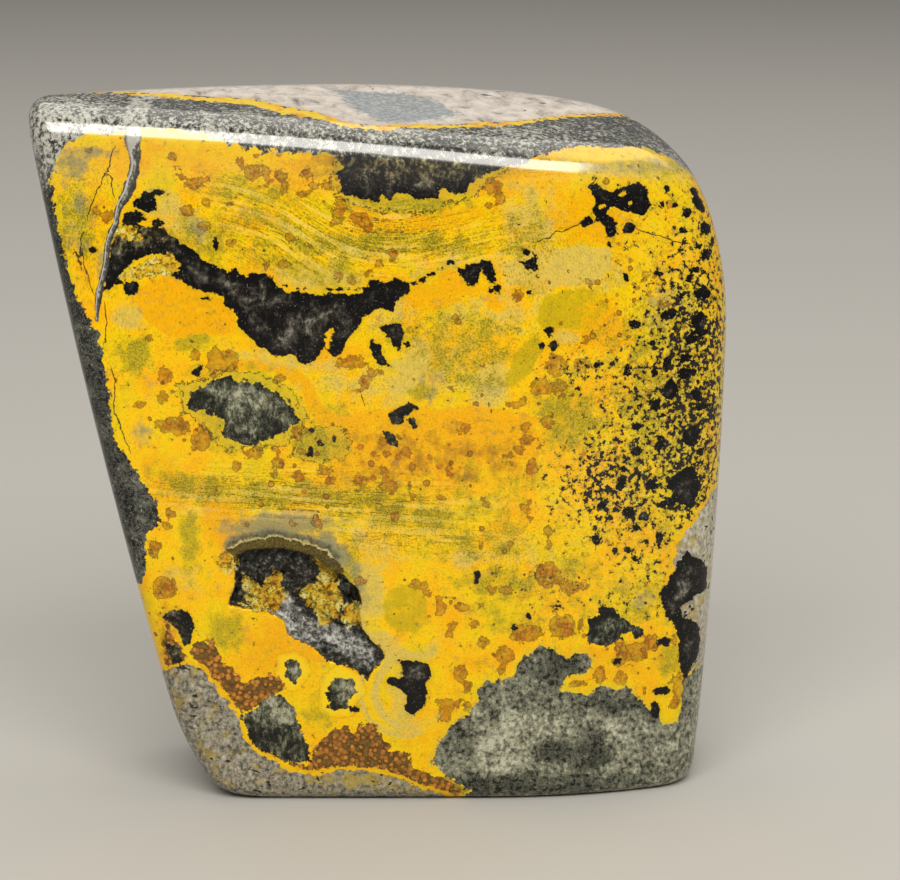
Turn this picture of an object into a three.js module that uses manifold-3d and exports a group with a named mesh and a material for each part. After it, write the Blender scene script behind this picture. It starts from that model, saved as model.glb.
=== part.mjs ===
// A polished freeform of bumblebee jasper: one upright block of banded volcanic calcite, standing on
// a sawn and lapped base. A lapidary saws the rough, grinds one broad facet after another on a flat
// wheel, then rounds every edge and polishes the whole stone. The model is made the same way: each
// facet is a slightly bowed grinding plane, the planes are blended over each other by the rounding
// that the wheel gives each edge, and a sawn block is ground down until every point meets them.
// One natural hollow on the front is too deep for the polish to reach, and is left open.
//
// Millimetres, +Z up. The broad polished face looks along -Y and the stone stands on Z = 0, with the
// origin under the middle of the stone.

import * as THREE from "three";
import { mergeVertices } from "three/addons/utils/BufferGeometryUtils.js";
import Module from "manifold-3d";

// Facets: a point that the wheel touches, the direction in plan that the facet faces (0 is +X, 90
// is +Y), how far it is tipped up (90 is straight up), and the radius of its bow (Infinity is flat).
const FLAT = Infinity;
const FRONT = { at: [-4, -20.7, 50], turn: -90, tilt: 3, bow: 1500 };
const FRONT_RIGHT = { at: [38, -19, 40], turn: -64.5, tilt: 3.5, bow: 700 };
const TOP = { at: [-8, 0.5, 107.7], turn: -65, tilt: 79, bow: 900 };
const UPPER_SHOULDER = { at: [38, 0.5, 112.3], turn: 0, tilt: 65, bow: FLAT };
const LOWER_SHOULDER = { at: [50.5, 0.5, 93.5], turn: -4, tilt: 30, bow: FLAT };
const RIGHT = { at: [53.6, 0.5, 55], turn: -3, tilt: -2.2, bow: 900 };
const BACK = { at: [4, 26, 50], turn: 88, tilt: 2, bow: 900 };
const BACK_LEFT = { at: [-36, 6.5, 60], turn: 109, tilt: 1, bow: 900 };
const BACK_RIGHT = { at: [40, 19, 55], turn: 51, tilt: 1, bow: 900 };
const LEFT = { at: [-43.4, 0.5, 50], turn: 184, tilt: -13, bow: 1100 };
const HEEL = { at: [-30.3, 0.5, 3.2], turn: 184, tilt: -46, bow: FLAT };
const BASE = { at: [0, 0, 0], turn: 0, tilt: -90, bow: FLAT };

// How far the rounding reaches from each kind of edge.
const SOFT_BLEND = 7; // between the two facets of the front
const SHOULDER_BLEND = 9; // over the top right shoulder
const SIDE_BLEND = 8; // shoulder into the right side
const BACK_BLEND = 10; // between the facets of the back
const RIM_BLEND = 4.5; // front into the top and the right side
const BACK_RIM_BLEND = 8; // back into the top and the sides
const LEFT_BLEND = 4; // all round the left side
const HEEL_BLEND = 6;
const BASE_BLEND = 3;

// The sawn block that is ground down. Its front, back and top are given at its left side, in its
// middle and at its right side, as the three points of a curve.
const BLOCK_LEFT = { bottom: -31, top: -53 };
const BLOCK_RIGHT = 50;
const BLOCK_FRONT = [-20, -28, -12];
const BLOCK_BACK = [4, 32, 9];
const BLOCK_TOP = [107, 116, 90];
const POINTS = [34, 14, 33]; // steps along X, Y and Z
const BUNCHING = 0.55; // 0 spaces the steps evenly, towards 1 gathers them at the edges
const GRINDING_CENTRE = [3, 0, 52];
const LONGEST_RAY = 110;
const RAY_HALVINGS = 30;

// The open hollow and the deeper pocket in it: the rim of each on the front, as X and Z, its depth,
// and how far its outline has narrowed at its floor.
const HOLLOW = {
  rim: [
    [-22.4, 39.5], [-19.9, 40.4], [-15.9, 40.6], [-12.9, 40.1], [-10.5, 39.2], [-8.0, 37.1],
    [-6.2, 36.4], [-3.7, 34.3], [-3.0, 32.3], [-3.6, 30.0], [-3.0, 27.9], [-1.8, 26.1],
    [0.1, 24.4], [0.3, 23.0], [-1.5, 21.3], [-2.3, 19.7], [-4.8, 21.7], [-8.3, 22.6],
    [-10.9, 25.2], [-14.1, 26.6], [-15.5, 29.4], [-17.6, 30.5], [-21.0, 30.9], [-23.9, 31.4],
    [-22.7, 34.8],
  ],
  depth: 1.4,
  narrows: 0.9,
};
const POCKET = {
  rim: [[-5.6, 33.0], [-4.6, 34.2], [-3.4, 33.8], [-3.3, 31.8], [-4.0, 30.9], [-5.2, 31.6]],
  depth: 3.4,
  narrows: 0.7,
};
const CUTTER_LENGTH = 10; // how far the cutter stands out in front of the stone

const wasm = await Module();
wasm.setup();

// Distance outside a facet's plane, raised away from the touching point by the facet's bow.
function beyond(facet, point) {
  const turn = THREE.MathUtils.degToRad(facet.turn);
  const tilt = THREE.MathUtils.degToRad(facet.tilt);
  const outward = new THREE.Vector3(
    Math.cos(turn) * Math.cos(tilt),
    Math.sin(turn) * Math.cos(tilt),
    Math.sin(tilt),
  );
  const away = new THREE.Vector3().subVectors(point, new THREE.Vector3(...facet.at));
  const height = away.dot(outward);
  const sideways = away.lengthSq() - height * height;
  return height + sideways / (2 * facet.bow);
}

// The larger of two distances, rounded over where they are nearly equal.
function blend(a, b, reach) {
  const near = Math.max(reach - Math.abs(a - b), 0) / reach;
  return Math.max(a, b) + (near * near * reach) / 4;
}

// Distance outside the ground stone: below 0 inside it.
function outside(point) {
  const to = (facet) => beyond(facet, point);
  const front = blend(to(FRONT), to(FRONT_RIGHT), SOFT_BLEND);
  let crown = blend(to(TOP), to(UPPER_SHOULDER), SHOULDER_BLEND);
  crown = blend(crown, to(LOWER_SHOULDER), SHOULDER_BLEND);
  crown = blend(crown, to(RIGHT), SIDE_BLEND);
  let back = blend(to(BACK), to(BACK_LEFT), BACK_BLEND);
  back = blend(back, to(BACK_RIGHT), BACK_BLEND);
  let stone = blend(front, crown, RIM_BLEND);
  stone = blend(stone, back, BACK_RIM_BLEND);
  stone = blend(stone, blend(to(LEFT), to(HEEL), HEEL_BLEND), LEFT_BLEND);
  return blend(stone, to(BASE), BASE_BLEND);
}

// Moves a step from 0 to 1 towards the nearer end, to put more points where the edges are.
function gather(step) {
  return step - (BUNCHING * Math.sin(2 * Math.PI * step)) / (2 * Math.PI);
}

// A point of the curve through a first, towards a second and to a third value.
function curve([first, towards, last], step) {
  const back = 1 - step;
  return back * back * first + 2 * back * step * towards + step * step * last;
}

// The sawn block: a box of points that leans out to the left and is thinnest there.
function sawnBlock() {
  const box = new THREE.BoxGeometry(1, 1, 1, ...POINTS);
  box.deleteAttribute("normal");
  box.deleteAttribute("uv");
  const block = mergeVertices(box);
  const points = block.attributes.position;
  for (let i = 0; i < points.count; i++) {
    const across = gather(points.getX(i) + 0.5);
    const deep = gather(points.getY(i) + 0.5);
    const up = gather(points.getZ(i) + 0.5);
    const left = THREE.MathUtils.lerp(BLOCK_LEFT.bottom, BLOCK_LEFT.top, up);
    points.setXYZ(
      i,
      THREE.MathUtils.lerp(left, BLOCK_RIGHT, across),
      THREE.MathUtils.lerp(curve(BLOCK_FRONT, across), curve(BLOCK_BACK, across), deep),
      curve(BLOCK_TOP, across) * up,
    );
  }
  return block;
}

// Moves every point of the block along its line from the centre until it lies on the ground stone.
function grind(block) {
  const centre = new THREE.Vector3(...GRINDING_CENTRE);
  const points = block.attributes.position;
  const ray = new THREE.Vector3();
  const tried = new THREE.Vector3();
  for (let i = 0; i < points.count; i++) {
    ray.fromBufferAttribute(points, i).sub(centre).normalize();
    let inner = 0;
    let outer = LONGEST_RAY;
    for (let n = 0; n < RAY_HALVINGS; n++) {
      const middle = (inner + outer) / 2;
      tried.copy(centre).addScaledVector(ray, middle);
      if (outside(tried) < 0) inner = middle;
      else outer = middle;
    }
    tried.copy(centre).addScaledVector(ray, inner);
    points.setXYZ(i, tried.x, tried.y, tried.z);
  }
  return block;
}

// Where the front face lies at a given X and Z.
function frontAt(x, z) {
  let inner = 0;
  let outer = FRONT.at[1] - CUTTER_LENGTH;
  for (let n = 0; n < RAY_HALVINGS; n++) {
    const middle = (inner + outer) / 2;
    if (outside(new THREE.Vector3(x, middle, z)) < 0) inner = middle;
    else outer = middle;
  }
  return inner;
}

// A plug of a hollow's outline that narrows to the hollow's floor, to be cut from the stone.
function plugFor(hollow) {
  const rim = hollow.rim.map(([x, z]) => new THREE.Vector2(x, z));
  const middle = rim.reduce((sum, p) => sum.add(p), new THREE.Vector2()).divideScalar(rim.length);
  const plug = new THREE.ExtrudeGeometry(new THREE.Shape(rim), { depth: 1, bevelEnabled: false });
  plug.deleteAttribute("normal");
  plug.deleteAttribute("uv");
  const closed = mergeVertices(plug);
  const points = closed.attributes.position;
  for (let i = 0; i < points.count; i++) {
    const onFloor = points.getZ(i) < 0.5;
    const narrowed = onFloor ? hollow.narrows : 1;
    const x = middle.x + (points.getX(i) - middle.x) * narrowed;
    const z = middle.y + (points.getY(i) - middle.y) * narrowed;
    const y = onFloor ? frontAt(x, z) + hollow.depth : FRONT.at[1] - CUTTER_LENGTH;
    points.setXYZ(i, x, y, z);
  }
  return closed;
}

function solid(geometry) {
  return new wasm.Manifold(
    new wasm.Mesh({
      numProp: 3,
      vertProperties: new Float32Array(geometry.attributes.position.array),
      triVerts: new Uint32Array(geometry.index.array),
    }),
  );
}

function geometryOf(manifold) {
  const mesh = manifold.getMesh();
  const geometry = new THREE.BufferGeometry();
  geometry.setAttribute("position", new THREE.BufferAttribute(mesh.vertProperties, 3));
  geometry.setIndex(new THREE.BufferAttribute(mesh.triVerts, 1));
  geometry.computeVertexNormals();
  return geometry;
}

// Polished calcite, coloured yellow by arsenic sulphide.
const bandedStone = new THREE.MeshStandardMaterial({
  name: "banded_stone",
  color: 0xc9a21c,
  roughness: 0.15,
  metalness: 0,
});

let carved = solid(grind(sawnBlock()));
for (const hollow of [HOLLOW, POCKET]) carved = carved.subtract(solid(plugFor(hollow)));
const stone = new THREE.Mesh(geometryOf(carved), bandedStone);
stone.name = "polished_stone";

const freeform = new THREE.Group();
freeform.name = "jasper_freeform";
freeform.add(stone);

export default freeform;
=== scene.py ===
from math import radians

import bmesh
import bpy
import numpy as np
from mathutils import Matrix, Vector


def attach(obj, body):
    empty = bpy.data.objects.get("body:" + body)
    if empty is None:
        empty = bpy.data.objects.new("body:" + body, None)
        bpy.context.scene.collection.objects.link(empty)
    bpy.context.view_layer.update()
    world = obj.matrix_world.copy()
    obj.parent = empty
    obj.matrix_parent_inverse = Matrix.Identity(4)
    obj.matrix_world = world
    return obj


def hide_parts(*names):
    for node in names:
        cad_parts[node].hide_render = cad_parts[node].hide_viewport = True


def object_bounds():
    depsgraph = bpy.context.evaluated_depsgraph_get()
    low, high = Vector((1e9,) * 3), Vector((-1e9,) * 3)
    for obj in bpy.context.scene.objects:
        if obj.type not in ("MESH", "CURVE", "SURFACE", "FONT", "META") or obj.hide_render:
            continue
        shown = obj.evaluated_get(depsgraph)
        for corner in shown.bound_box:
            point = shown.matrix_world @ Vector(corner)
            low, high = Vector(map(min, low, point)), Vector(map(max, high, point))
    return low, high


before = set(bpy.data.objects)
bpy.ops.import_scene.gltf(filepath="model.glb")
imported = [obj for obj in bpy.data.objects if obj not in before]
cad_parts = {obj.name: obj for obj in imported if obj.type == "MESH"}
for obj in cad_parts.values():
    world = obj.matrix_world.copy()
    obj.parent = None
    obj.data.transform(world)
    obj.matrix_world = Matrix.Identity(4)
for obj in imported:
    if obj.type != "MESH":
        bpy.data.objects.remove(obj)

cad_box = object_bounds()

# ---- Camera -------------------------------------------------------------------------------------
# The stone is seen a little from above, straight at its broad polished face, through a long lens.
# Distances here and below are in millimetres until they are turned to metres with MM.
MM = 0.001
CAMERA_AIM = (10.5, -16.5, 56.6)
CAMERA_DISTANCE = 480
CAMERA_RISE = 13
CAMERA_LENS = 124.64

camera = bpy.data.objects.new("camera", bpy.data.cameras.new("camera"))
camera.data.lens = CAMERA_LENS
camera.rotation_euler = (radians(90 - CAMERA_RISE), 0, 0)
looking = Matrix.Rotation(radians(-CAMERA_RISE), 3, "X") @ Vector((0, 1, 0))
camera.location = (Vector(CAMERA_AIM) - CAMERA_DISTANCE * looking) * MM
bpy.context.scene.collection.objects.link(camera)
bpy.context.scene.camera = camera

# ---- Studio -------------------------------------------------------------------------------------
# A pale matt table, a wide soft light above the camera that lies as a white haze along the rounded
# rim, and a broad dim one high behind the stone for its top.
TABLE_SIZE = 3000
TABLE_COLOUR = "BFBCB7"
ROOM_COLOUR = "CDCBC8"
ROOM_STRENGTH = 0.38
LIGHT_COLOUR = "FFFCF4"
SOFT_LIGHTS = {  # place, aimed at, width, depth, watts
    "front_light": ((40, -780, 850), (0, -10, 70), 1300, 580, 13.0),
    "top_light": ((100, 400, 1050), (0, 0, 100), 1700, 1300, 6.5),
}


def linear(code):
    """An sRGB hex colour as the linear colour that the shaders take."""
    parts = [int(code[i : i + 2], 16) / 255 for i in (0, 2, 4)]
    return (*[p / 12.92 if p <= 0.04045 else ((p + 0.055) / 1.055) ** 2.4 for p in parts], 1)


def add(kind, sockets, give=0, stops=(), **settings):
    """Adds a node to the tree in hand and returns one or more of its outputs.

    Sockets and outputs go by name, or by place where several share a name.
    """
    made = tree.nodes.new("ShaderNode" + kind)
    for name, value in settings.items():
        setattr(made, name, value)
    for place, (position, code) in enumerate(stops):
        ramp = made.color_ramp.elements
        stop = ramp[place] if place < 2 else ramp.new(position)
        stop.position = position
        stop.color = linear(code)
    for socket, value in sockets.items():
        if isinstance(value, bpy.types.NodeSocket):
            tree.links.new(value, made.inputs[socket])
        else:
            made.inputs[socket].default_value = value
    return [made.outputs[g] for g in give] if isinstance(give, tuple) else made.outputs[give]


def finish_of(name):
    """A new material with an empty tree, ready for its nodes."""
    made = bpy.data.materials.new(name)
    made.use_nodes = True
    made.node_tree.nodes.clear()
    return made


world = bpy.data.worlds.new("room")
bpy.context.scene.world = world
world.use_nodes = True
world.node_tree.nodes["Background"].inputs["Color"].default_value = linear(ROOM_COLOUR)
world.node_tree.nodes["Background"].inputs["Strength"].default_value = ROOM_STRENGTH
bpy.context.scene.view_settings.view_transform = "Standard"

for name, (place, aim, width, depth, watts) in SOFT_LIGHTS.items():
    lamp = bpy.data.lights.new(name, "AREA")
    lamp.shape = "RECTANGLE"
    lamp.size, lamp.size_y = width * MM, depth * MM
    lamp.energy = watts
    lamp.color = linear(LIGHT_COLOUR)[:3]
    light = bpy.data.objects.new(name, lamp)
    light.location = Vector(place) * MM
    light.rotation_euler = (Vector(aim) - Vector(place)).to_track_quat("-Z", "Y").to_euler()
    bpy.context.scene.collection.objects.link(light)

matt_table = finish_of("matt_painted_table")
tree = matt_table.node_tree
paint = add("BsdfPrincipled", {"Base Color": linear(TABLE_COLOUR), "Roughness": 0.9})
add("OutputMaterial", {"Surface": paint}, give=())

table_mesh = bpy.data.meshes.new("table")
table_shape = bmesh.new()
bmesh.ops.create_grid(table_shape, x_segments=1, y_segments=1, size=TABLE_SIZE * MM / 2)
table_shape.to_mesh(table_mesh)
table_shape.free()
table = bpy.data.objects.new("table", table_mesh)
table.data.materials.append(matt_table)
bpy.context.scene.collection.objects.link(table)

# ---- The ground stone ---------------------------------------------------------------------------
# One block of banded volcanic calcite, sawn, ground facet after facet on a flat wheel, rounded at
# every edge and polished. The facets are the model's own, and the block has many more points, with
# the broad face and the top finest because they carry the drawing.
FLAT = float("inf")
FRONT = ((-4, -20.7, 50), -90, 3, 1500)  # at, turned in plan, tipped up, radius of its bow
FRONT_RIGHT = ((38, -19, 40), -64.5, 3.5, 700)
TOP = ((-8, 0.5, 107.7), -65, 79, 900)
UPPER_SHOULDER = ((38, 0.5, 112.3), 0, 65, FLAT)
LOWER_SHOULDER = ((50.5, 0.5, 93.5), -4, 30, FLAT)
RIGHT = ((53.6, 0.5, 55), -3, -2.2, 900)
BACK = ((4, 26, 50), 88, 2, 900)
BACK_LEFT = ((-36, 6.5, 60), 109, 1, 900)
BACK_RIGHT = ((40, 19, 55), 51, 1, 900)
LEFT = ((-43.4, 0.5, 50), 184, -13, 1100)
HEEL = ((-30.3, 0.5, 3.2), 184, -46, FLAT)
BASE = ((0, 0, 0), 0, -90, FLAT)
SOFT_BLEND, SHOULDER_BLEND, SIDE_BLEND, BACK_BLEND = 7, 9, 8, 10
RIM_BLEND, BACK_RIM_BLEND, LEFT_BLEND, HEEL_BLEND, BASE_BLEND = 4.5, 8, 4, 6, 3
BLOCK_LEFT = (-31, -53)  # at its bottom and at its top
BLOCK_RIGHT = 50
# The sawn block's front, back and top: a curve from its left, towards its middle, to its right.
BLOCK_FRONT, BLOCK_BACK, BLOCK_TOP = (-20, -28, -12), (4, 32, 9), (107, 116, 90)
STEPS = (114, 29, 114)  # along X, Y and Z
BUNCHING = 0.2  # 0 spaces the steps evenly, towards 1 gathers them at the edges
BLOCK_SIDE = 0.4999  # of a block 1 wide: a face whose middle is past this lies in that side
GRINDING_CENTRE = np.array((3, 0, 52))
LONGEST_RAY = 110
RAY_HALVINGS = 34


def beyond(points, facet):
    """Distance outside a facet's plane, raised away from its touching point by the bow."""
    at, turn, tilt, bow = facet
    turn, tilt = np.radians(turn), np.radians(tilt)
    outward = np.array((np.cos(turn) * np.cos(tilt), np.sin(turn) * np.cos(tilt), np.sin(tilt)))
    away = points - np.array(at)
    height = away @ outward
    return height + ((away**2).sum(axis=1) - height**2) / (2 * bow)


def blend(a, b, reach):
    """The larger of two distances, rounded over where they are nearly equal."""
    near = np.maximum(reach - np.abs(a - b), 0) / reach
    return np.maximum(a, b) + near * near * reach / 4


def outside_front(points):
    """Distance outside the broad face and the facet right of it."""
    return blend(beyond(points, FRONT), beyond(points, FRONT_RIGHT), SOFT_BLEND)


def outside_back(points):
    """Distance outside the three facets of the back."""
    back = blend(beyond(points, BACK), beyond(points, BACK_LEFT), BACK_BLEND)
    return blend(back, beyond(points, BACK_RIGHT), BACK_BLEND)


def outside(points):
    """Distance outside the ground stone, below 0 inside it."""
    crown = blend(beyond(points, TOP), beyond(points, UPPER_SHOULDER), SHOULDER_BLEND)
    crown = blend(crown, beyond(points, LOWER_SHOULDER), SHOULDER_BLEND)
    crown = blend(crown, beyond(points, RIGHT), SIDE_BLEND)
    stone = blend(outside_front(points), crown, RIM_BLEND)
    stone = blend(stone, outside_back(points), BACK_RIM_BLEND)
    side = blend(beyond(points, LEFT), beyond(points, HEEL), HEEL_BLEND)
    stone = blend(stone, side, LEFT_BLEND)
    return blend(stone, beyond(points, BASE), BASE_BLEND)


def curve(through, step):
    """A point of the curve through a first, towards a second and to a third value."""
    first, towards, last = through
    return (1 - step) ** 2 * first + 2 * step * (1 - step) * towards + step**2 * last


def ground(steps):
    """Where points of the sawn block, given as steps along it, lie once the stone is ground."""
    across, deep, up = (s - BUNCHING * np.sin(2 * np.pi * s) / (2 * np.pi) for s in (steps + 0.5).T)
    left = BLOCK_LEFT[0] + (BLOCK_LEFT[1] - BLOCK_LEFT[0]) * up
    front, back = curve(BLOCK_FRONT, across), curve(BLOCK_BACK, across)
    block = (left + (BLOCK_RIGHT - left) * across, front + (back - front) * deep)
    rays = np.stack((*block, curve(BLOCK_TOP, across) * up), axis=1) - GRINDING_CENTRE
    rays /= np.linalg.norm(rays, axis=1)[:, None]
    inner, outer = np.zeros(len(rays)), np.full(len(rays), float(LONGEST_RAY))
    for _ in range(RAY_HALVINGS):
        middle = (inner + outer) / 2
        within = outside(GRINDING_CENTRE + rays * middle[:, None]) < 0
        inner, outer = np.where(within, middle, inner), np.where(within, outer, middle)
    return GRINDING_CENTRE + rays * inner[:, None]


# The open hollow on the broad face and the deeper pocket in it, as X and Z of their rims.
HOLLOW_RIM = [
    (-22.4, 39.5), (-19.9, 40.4), (-15.9, 40.6), (-12.9, 40.1), (-10.5, 39.2), (-8.0, 37.1),
    (-6.2, 36.4), (-3.7, 34.3), (-3.0, 32.3), (-3.6, 30.0), (-3.0, 27.9), (-1.8, 26.1),
    (0.1, 24.4), (0.3, 23.0), (-1.5, 21.3), (-2.3, 19.7), (-4.8, 21.7), (-8.3, 22.6),
    (-10.9, 25.2), (-14.1, 26.6), (-15.5, 29.4), (-17.6, 30.5), (-21.0, 30.9), (-23.9, 31.4),
    (-22.7, 34.8),
]
POCKET_RIM = [(-5.6, 33.0), (-4.6, 34.2), (-3.4, 33.8), (-3.3, 31.8), (-4.0, 30.9), (-5.2, 31.6)]
HOLLOW_DEPTH = 1.25
POCKET_DEPTH = 3.2
HOLLOW_WALL, POCKET_WALL = 0.5, 0.8  # how far in from its rim each reaches its floor
RIM_STEP = 0.05
HOLLOW_MARGIN = 0.8  # how far round the hollow the finest part of the mesh goes
CRYSTAL_SPACING = 2.0
CRYSTAL_TILT = 0.5  # as a slope
CRYSTAL_RISE = 0.35
FAR = 6.0  # distances to a mark are kept no further out than this
FACE_SKIN = 3  # how deep a mark that lies on the broad face alone goes


def rising(place, start, end):
    """0 up to the start, 1 past the end and straight between, where the end may lie below."""
    return np.clip((place - start) / (end - start), 0, 1)


def to_outline(u, v, outline):
    """Distance to a closed outline, below 0 inside it."""
    ends = np.array(outline, float)
    low, high = ends.min(axis=0) - FAR, ends.max(axis=0) + FAR
    near = np.flatnonzero((u > low[0]) & (u < high[0]) & (v > low[1]) & (v < high[1]))
    x, z = u[near], v[near]
    nearest, within = np.full(len(near), FAR**2), np.zeros(len(near), bool)
    for (x0, z0), (x1, z1) in zip(ends, np.roll(ends, -1, axis=0)):
        dx, dz = x1 - x0, z1 - z0
        step = np.clip(((x - x0) * dx + (z - z0) * dz) / max(dx * dx + dz * dz, 1e-9), 0, 1)
        nearest = np.minimum(nearest, (x - x0 - step * dx) ** 2 + (z - z0 - step * dz) ** 2)
        if z0 != z1:
            within ^= ((z0 > z) != (z1 > z)) & (x < x0 + dx * (z - z0) / dz)
    result = np.full(len(u), FAR)
    result[near] = np.where(within, -1, 1) * np.sqrt(nearest)
    return result


def to_spot(u, v, spot):
    """Distance to an oval, given as its middle and its half width and half height."""
    x, z, wide, high = spot if len(spot) == 4 else (*spot, spot[2])
    return np.minimum((np.hypot((u - x) / wide, (v - z) / high) - 1) * min(wide, high), FAR)


def refine(shape, faces):
    """Halves every edge of some faces."""
    edges = list({edge for face in faces for edge in face.edges})
    bmesh.ops.subdivide_edges(shape, edges=edges, cuts=1, use_grid_fill=True)


shape = bmesh.new()
bmesh.ops.create_cube(shape, size=1)
for axis, steps in enumerate(STEPS):
    along = [e for e in shape.edges if abs(e.verts[0].co[axis] - e.verts[1].co[axis]) > 0.5]
    bmesh.ops.subdivide_edges(shape, edges=along, cuts=steps - 1)
refine(shape, [face for face in shape.faces if face.calc_center_median().y < -BLOCK_SIDE])
refine(shape, [face for face in shape.faces if face.calc_center_median().z > BLOCK_SIDE])
broad = [face for face in shape.faces if face.calc_center_median().y < -BLOCK_SIDE]
middles = ground(np.array([face.calc_center_median() for face in broad]))
to_hollow = to_outline(middles[:, 0], middles[:, 2], HOLLOW_RIM)
refine(shape, [face for face, far in zip(broad, to_hollow) if far < HOLLOW_MARGIN])

stone_mesh = bpy.data.meshes.new("polished_freeform")
shape.to_mesh(stone_mesh)
shape.free()
sawn = np.empty(len(stone_mesh.vertices) * 3)
stone_mesh.vertices.foreach_get("co", sawn)
skin = ground(sawn.reshape(-1, 3))
X, Y, Z = skin.T

to_hollow = to_outline(X, Z, HOLLOW_RIM)
to_hollow[outside_front(skin) < -FACE_SKIN] = FAR
to_pocket = to_outline(X, Z, POCKET_RIM)
chance = np.random.default_rng(7)
low, high = np.array(HOLLOW_RIM).min(axis=0), np.array(HOLLOW_RIM).max(axis=0)
crystals = chance.uniform(low, high, (int(np.prod(high - low) / CRYSTAL_SPACING**2), 2))
tilts = chance.uniform(-CRYSTAL_TILT, CRYSTAL_TILT, crystals.shape)
rises = chance.uniform(-CRYSTAL_RISE, CRYSTAL_RISE, len(crystals))
open_part = np.flatnonzero(to_hollow < 0)
away = np.stack((X, Z), axis=1)[open_part, None, :] - crystals[None, :, :]
own = (away**2).sum(axis=2).argmin(axis=1)
facets = rises[own] + (away[np.arange(len(own)), own] * tilts[own]).sum(axis=1)
sunk = rising(to_hollow[open_part], 0, -HOLLOW_WALL) * (HOLLOW_DEPTH + facets)
sunk += rising(to_pocket[open_part], 0, -POCKET_WALL) * (POCKET_DEPTH - HOLLOW_DEPTH)
placed = skin.copy()
placed[open_part, 1] += np.maximum(sunk, RIM_STEP)
box_low, box_high = (np.array(corner) for corner in cad_box)
stone_mesh.vertices.foreach_set("co", np.clip(placed * MM, box_low, box_high).ravel())
stone_mesh.polygons.foreach_set("use_smooth", np.ones(len(stone_mesh.polygons), bool))
stone_mesh.update()

# ---- Where each mineral lies --------------------------------------------------------------------
# The stone is one mass of layers and inclusions, and the polish only lays them open. Each mineral's
# bounds are kept as distances from every point of the skin, below 0 inside it. The outlines on the
# broad face or the back go into the stone, tapering, for a depth of their own.
TAPER = 0.15  # how much narrower an inclusion gets for each mm into the stone
WAVE = 0.8  # how far the bounds of what lies on the back wander from their outlines
front_depth = -outside_front(skin)
back_depth = -outside_back(skin)
kept = []
back_x = X + WAVE * (np.sin(0.9 * Z + 0.4 * X) + np.sin(2.3 * Z - 1.1 * X) / 2)
back_z = Z + WAVE * (np.sin(0.8 * X - 0.5 * Z) + np.sin(2.1 * X + 1.3 * Z) / 2)


def keep(name, values):
    """Gives every point of the skin a named value."""
    kept.append(name)
    stone_mesh.attributes.new(name, "FLOAT", "POINT").data.foreach_set("value", values)


def body(outlines=(), spots=(), reach=9.0, depth=None):
    """Distance to the nearest of some outlines and ovals that go this deep into the stone.

    Those that go in from the back never come out on the broad face.
    """
    depth = front_depth if depth is None else depth
    on_front = depth is front_depth
    covered = -FAR if on_front else FACE_SKIN - front_depth
    x, z = (X, Z) if on_front else (back_x, back_z)
    flat = np.full(len(X), FAR)
    for outline in outlines:
        flat = np.minimum(flat, to_outline(x, z, outline))
    for spot in spots:
        flat = np.minimum(flat, to_spot(x, z, spot))
    flat = np.maximum(flat, covered)
    return np.clip(np.maximum(flat + TAPER * np.maximum(depth, 0), depth - reach), -FAR, FAR)


def along_line(points):
    """How far to the left or right of a line each point is, and how far from it."""
    ends = np.array(points, float)
    nearest, across = np.full(len(X), np.inf), np.full(len(X), np.inf)
    for (x0, z0), (x1, z1) in zip(ends[:-1], ends[1:]):
        dx, dz = x1 - x0, z1 - z0
        length = np.hypot(dx, dz)
        step = np.clip(((X - x0) * dx + (Z - z0) * dz) / length**2, 0, 1)
        far = np.hypot(X - x0 - step * dx, Z - z0 - step * dz)
        side = np.where((Z - z0) * dx - (X - x0) * dz > 0, 1, -1)
        closer = far < nearest
        nearest = np.where(closer, far, nearest)
        across = np.where(closer, side * far, across)
    return across, nearest


# Layers: a dark grey volcanic band along the top, a yellow seam on it and pale rock behind. They
# dip back at 45 degrees, so each is bounded by a height of Y + Z that changes along X. A bound is
# drawn on the skin, as X and Z on the broad face or X and Y on the top, and its heights follow.
FACE_Y, TOP_Z = (0, -40), (50, 130)  # from inside the stone to outside it


def drawn(points, unknown, reach):
    """X and the height Y + Z of points of the skin, whose unknown Y (1) or Z (2) is found first."""
    spots = np.insert(np.array(points, float), unknown, reach[0], axis=1)
    inner, outer = (np.full(len(spots), float(end)) for end in reach)
    for _ in range(RAY_HALVINGS):
        middle = (inner + outer) / 2
        spots[:, unknown] = middle
        within = outside(spots) < 0
        inner, outer = np.where(within, middle, inner), np.where(within, outer, middle)
    return zip(spots[:, 0], spots[:, 1] + spots[:, 2])


DARK_FLOOR = [
    (-54, 76),
    *drawn([(-49.9, 97.3), (-47.8, 101.7), (-45, 103.8), (-41, 103.9), (-36, 104.6), (-29, 104.3),
            (-24, 102.8), (-18, 101.4), (-10, 100.9), (20, 99.2)], 1, FACE_Y),
    (22, 83.4),
    *drawn([(25, -14.2), (30, -11.1), (35, -10), (40, -6.6), (49, 0)], 2, TOP_Z),
]
SEAM_FLOOR = [*drawn([
    (-45, -5.5), (-35, -6), (-30, -6.8), (-20, -7.2), (-15, -10.5), (-10, -11.5), (-5, -13.9),
    (0, -13.9), (5, -12), (10, -10.5), (15, -8.1), (20, -5.7), (25, -1.5), (30, 2.4), (38, 7.4),
], 2, TOP_Z)]
SEAM_ROOF = [
    *drawn([(-45, -4.2), (-30, -3.6), (-20, -3), (-15, -5), (-10, -7), (-5, -12), (0, -11.6),
            (5, -9.7), (10, -8.3), (15, -5.4), (20, -3.3), (25, 0.6), (30, 4.3)], 2, TOP_Z),
    (40, 114),
]
SEAM_SHARE = 0.35  # how much of the seam's height is stained rock instead of yellow
ACROSS_DIP = 0.8  # turns a height of Y + Z into about the distance from a layer's bound
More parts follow.
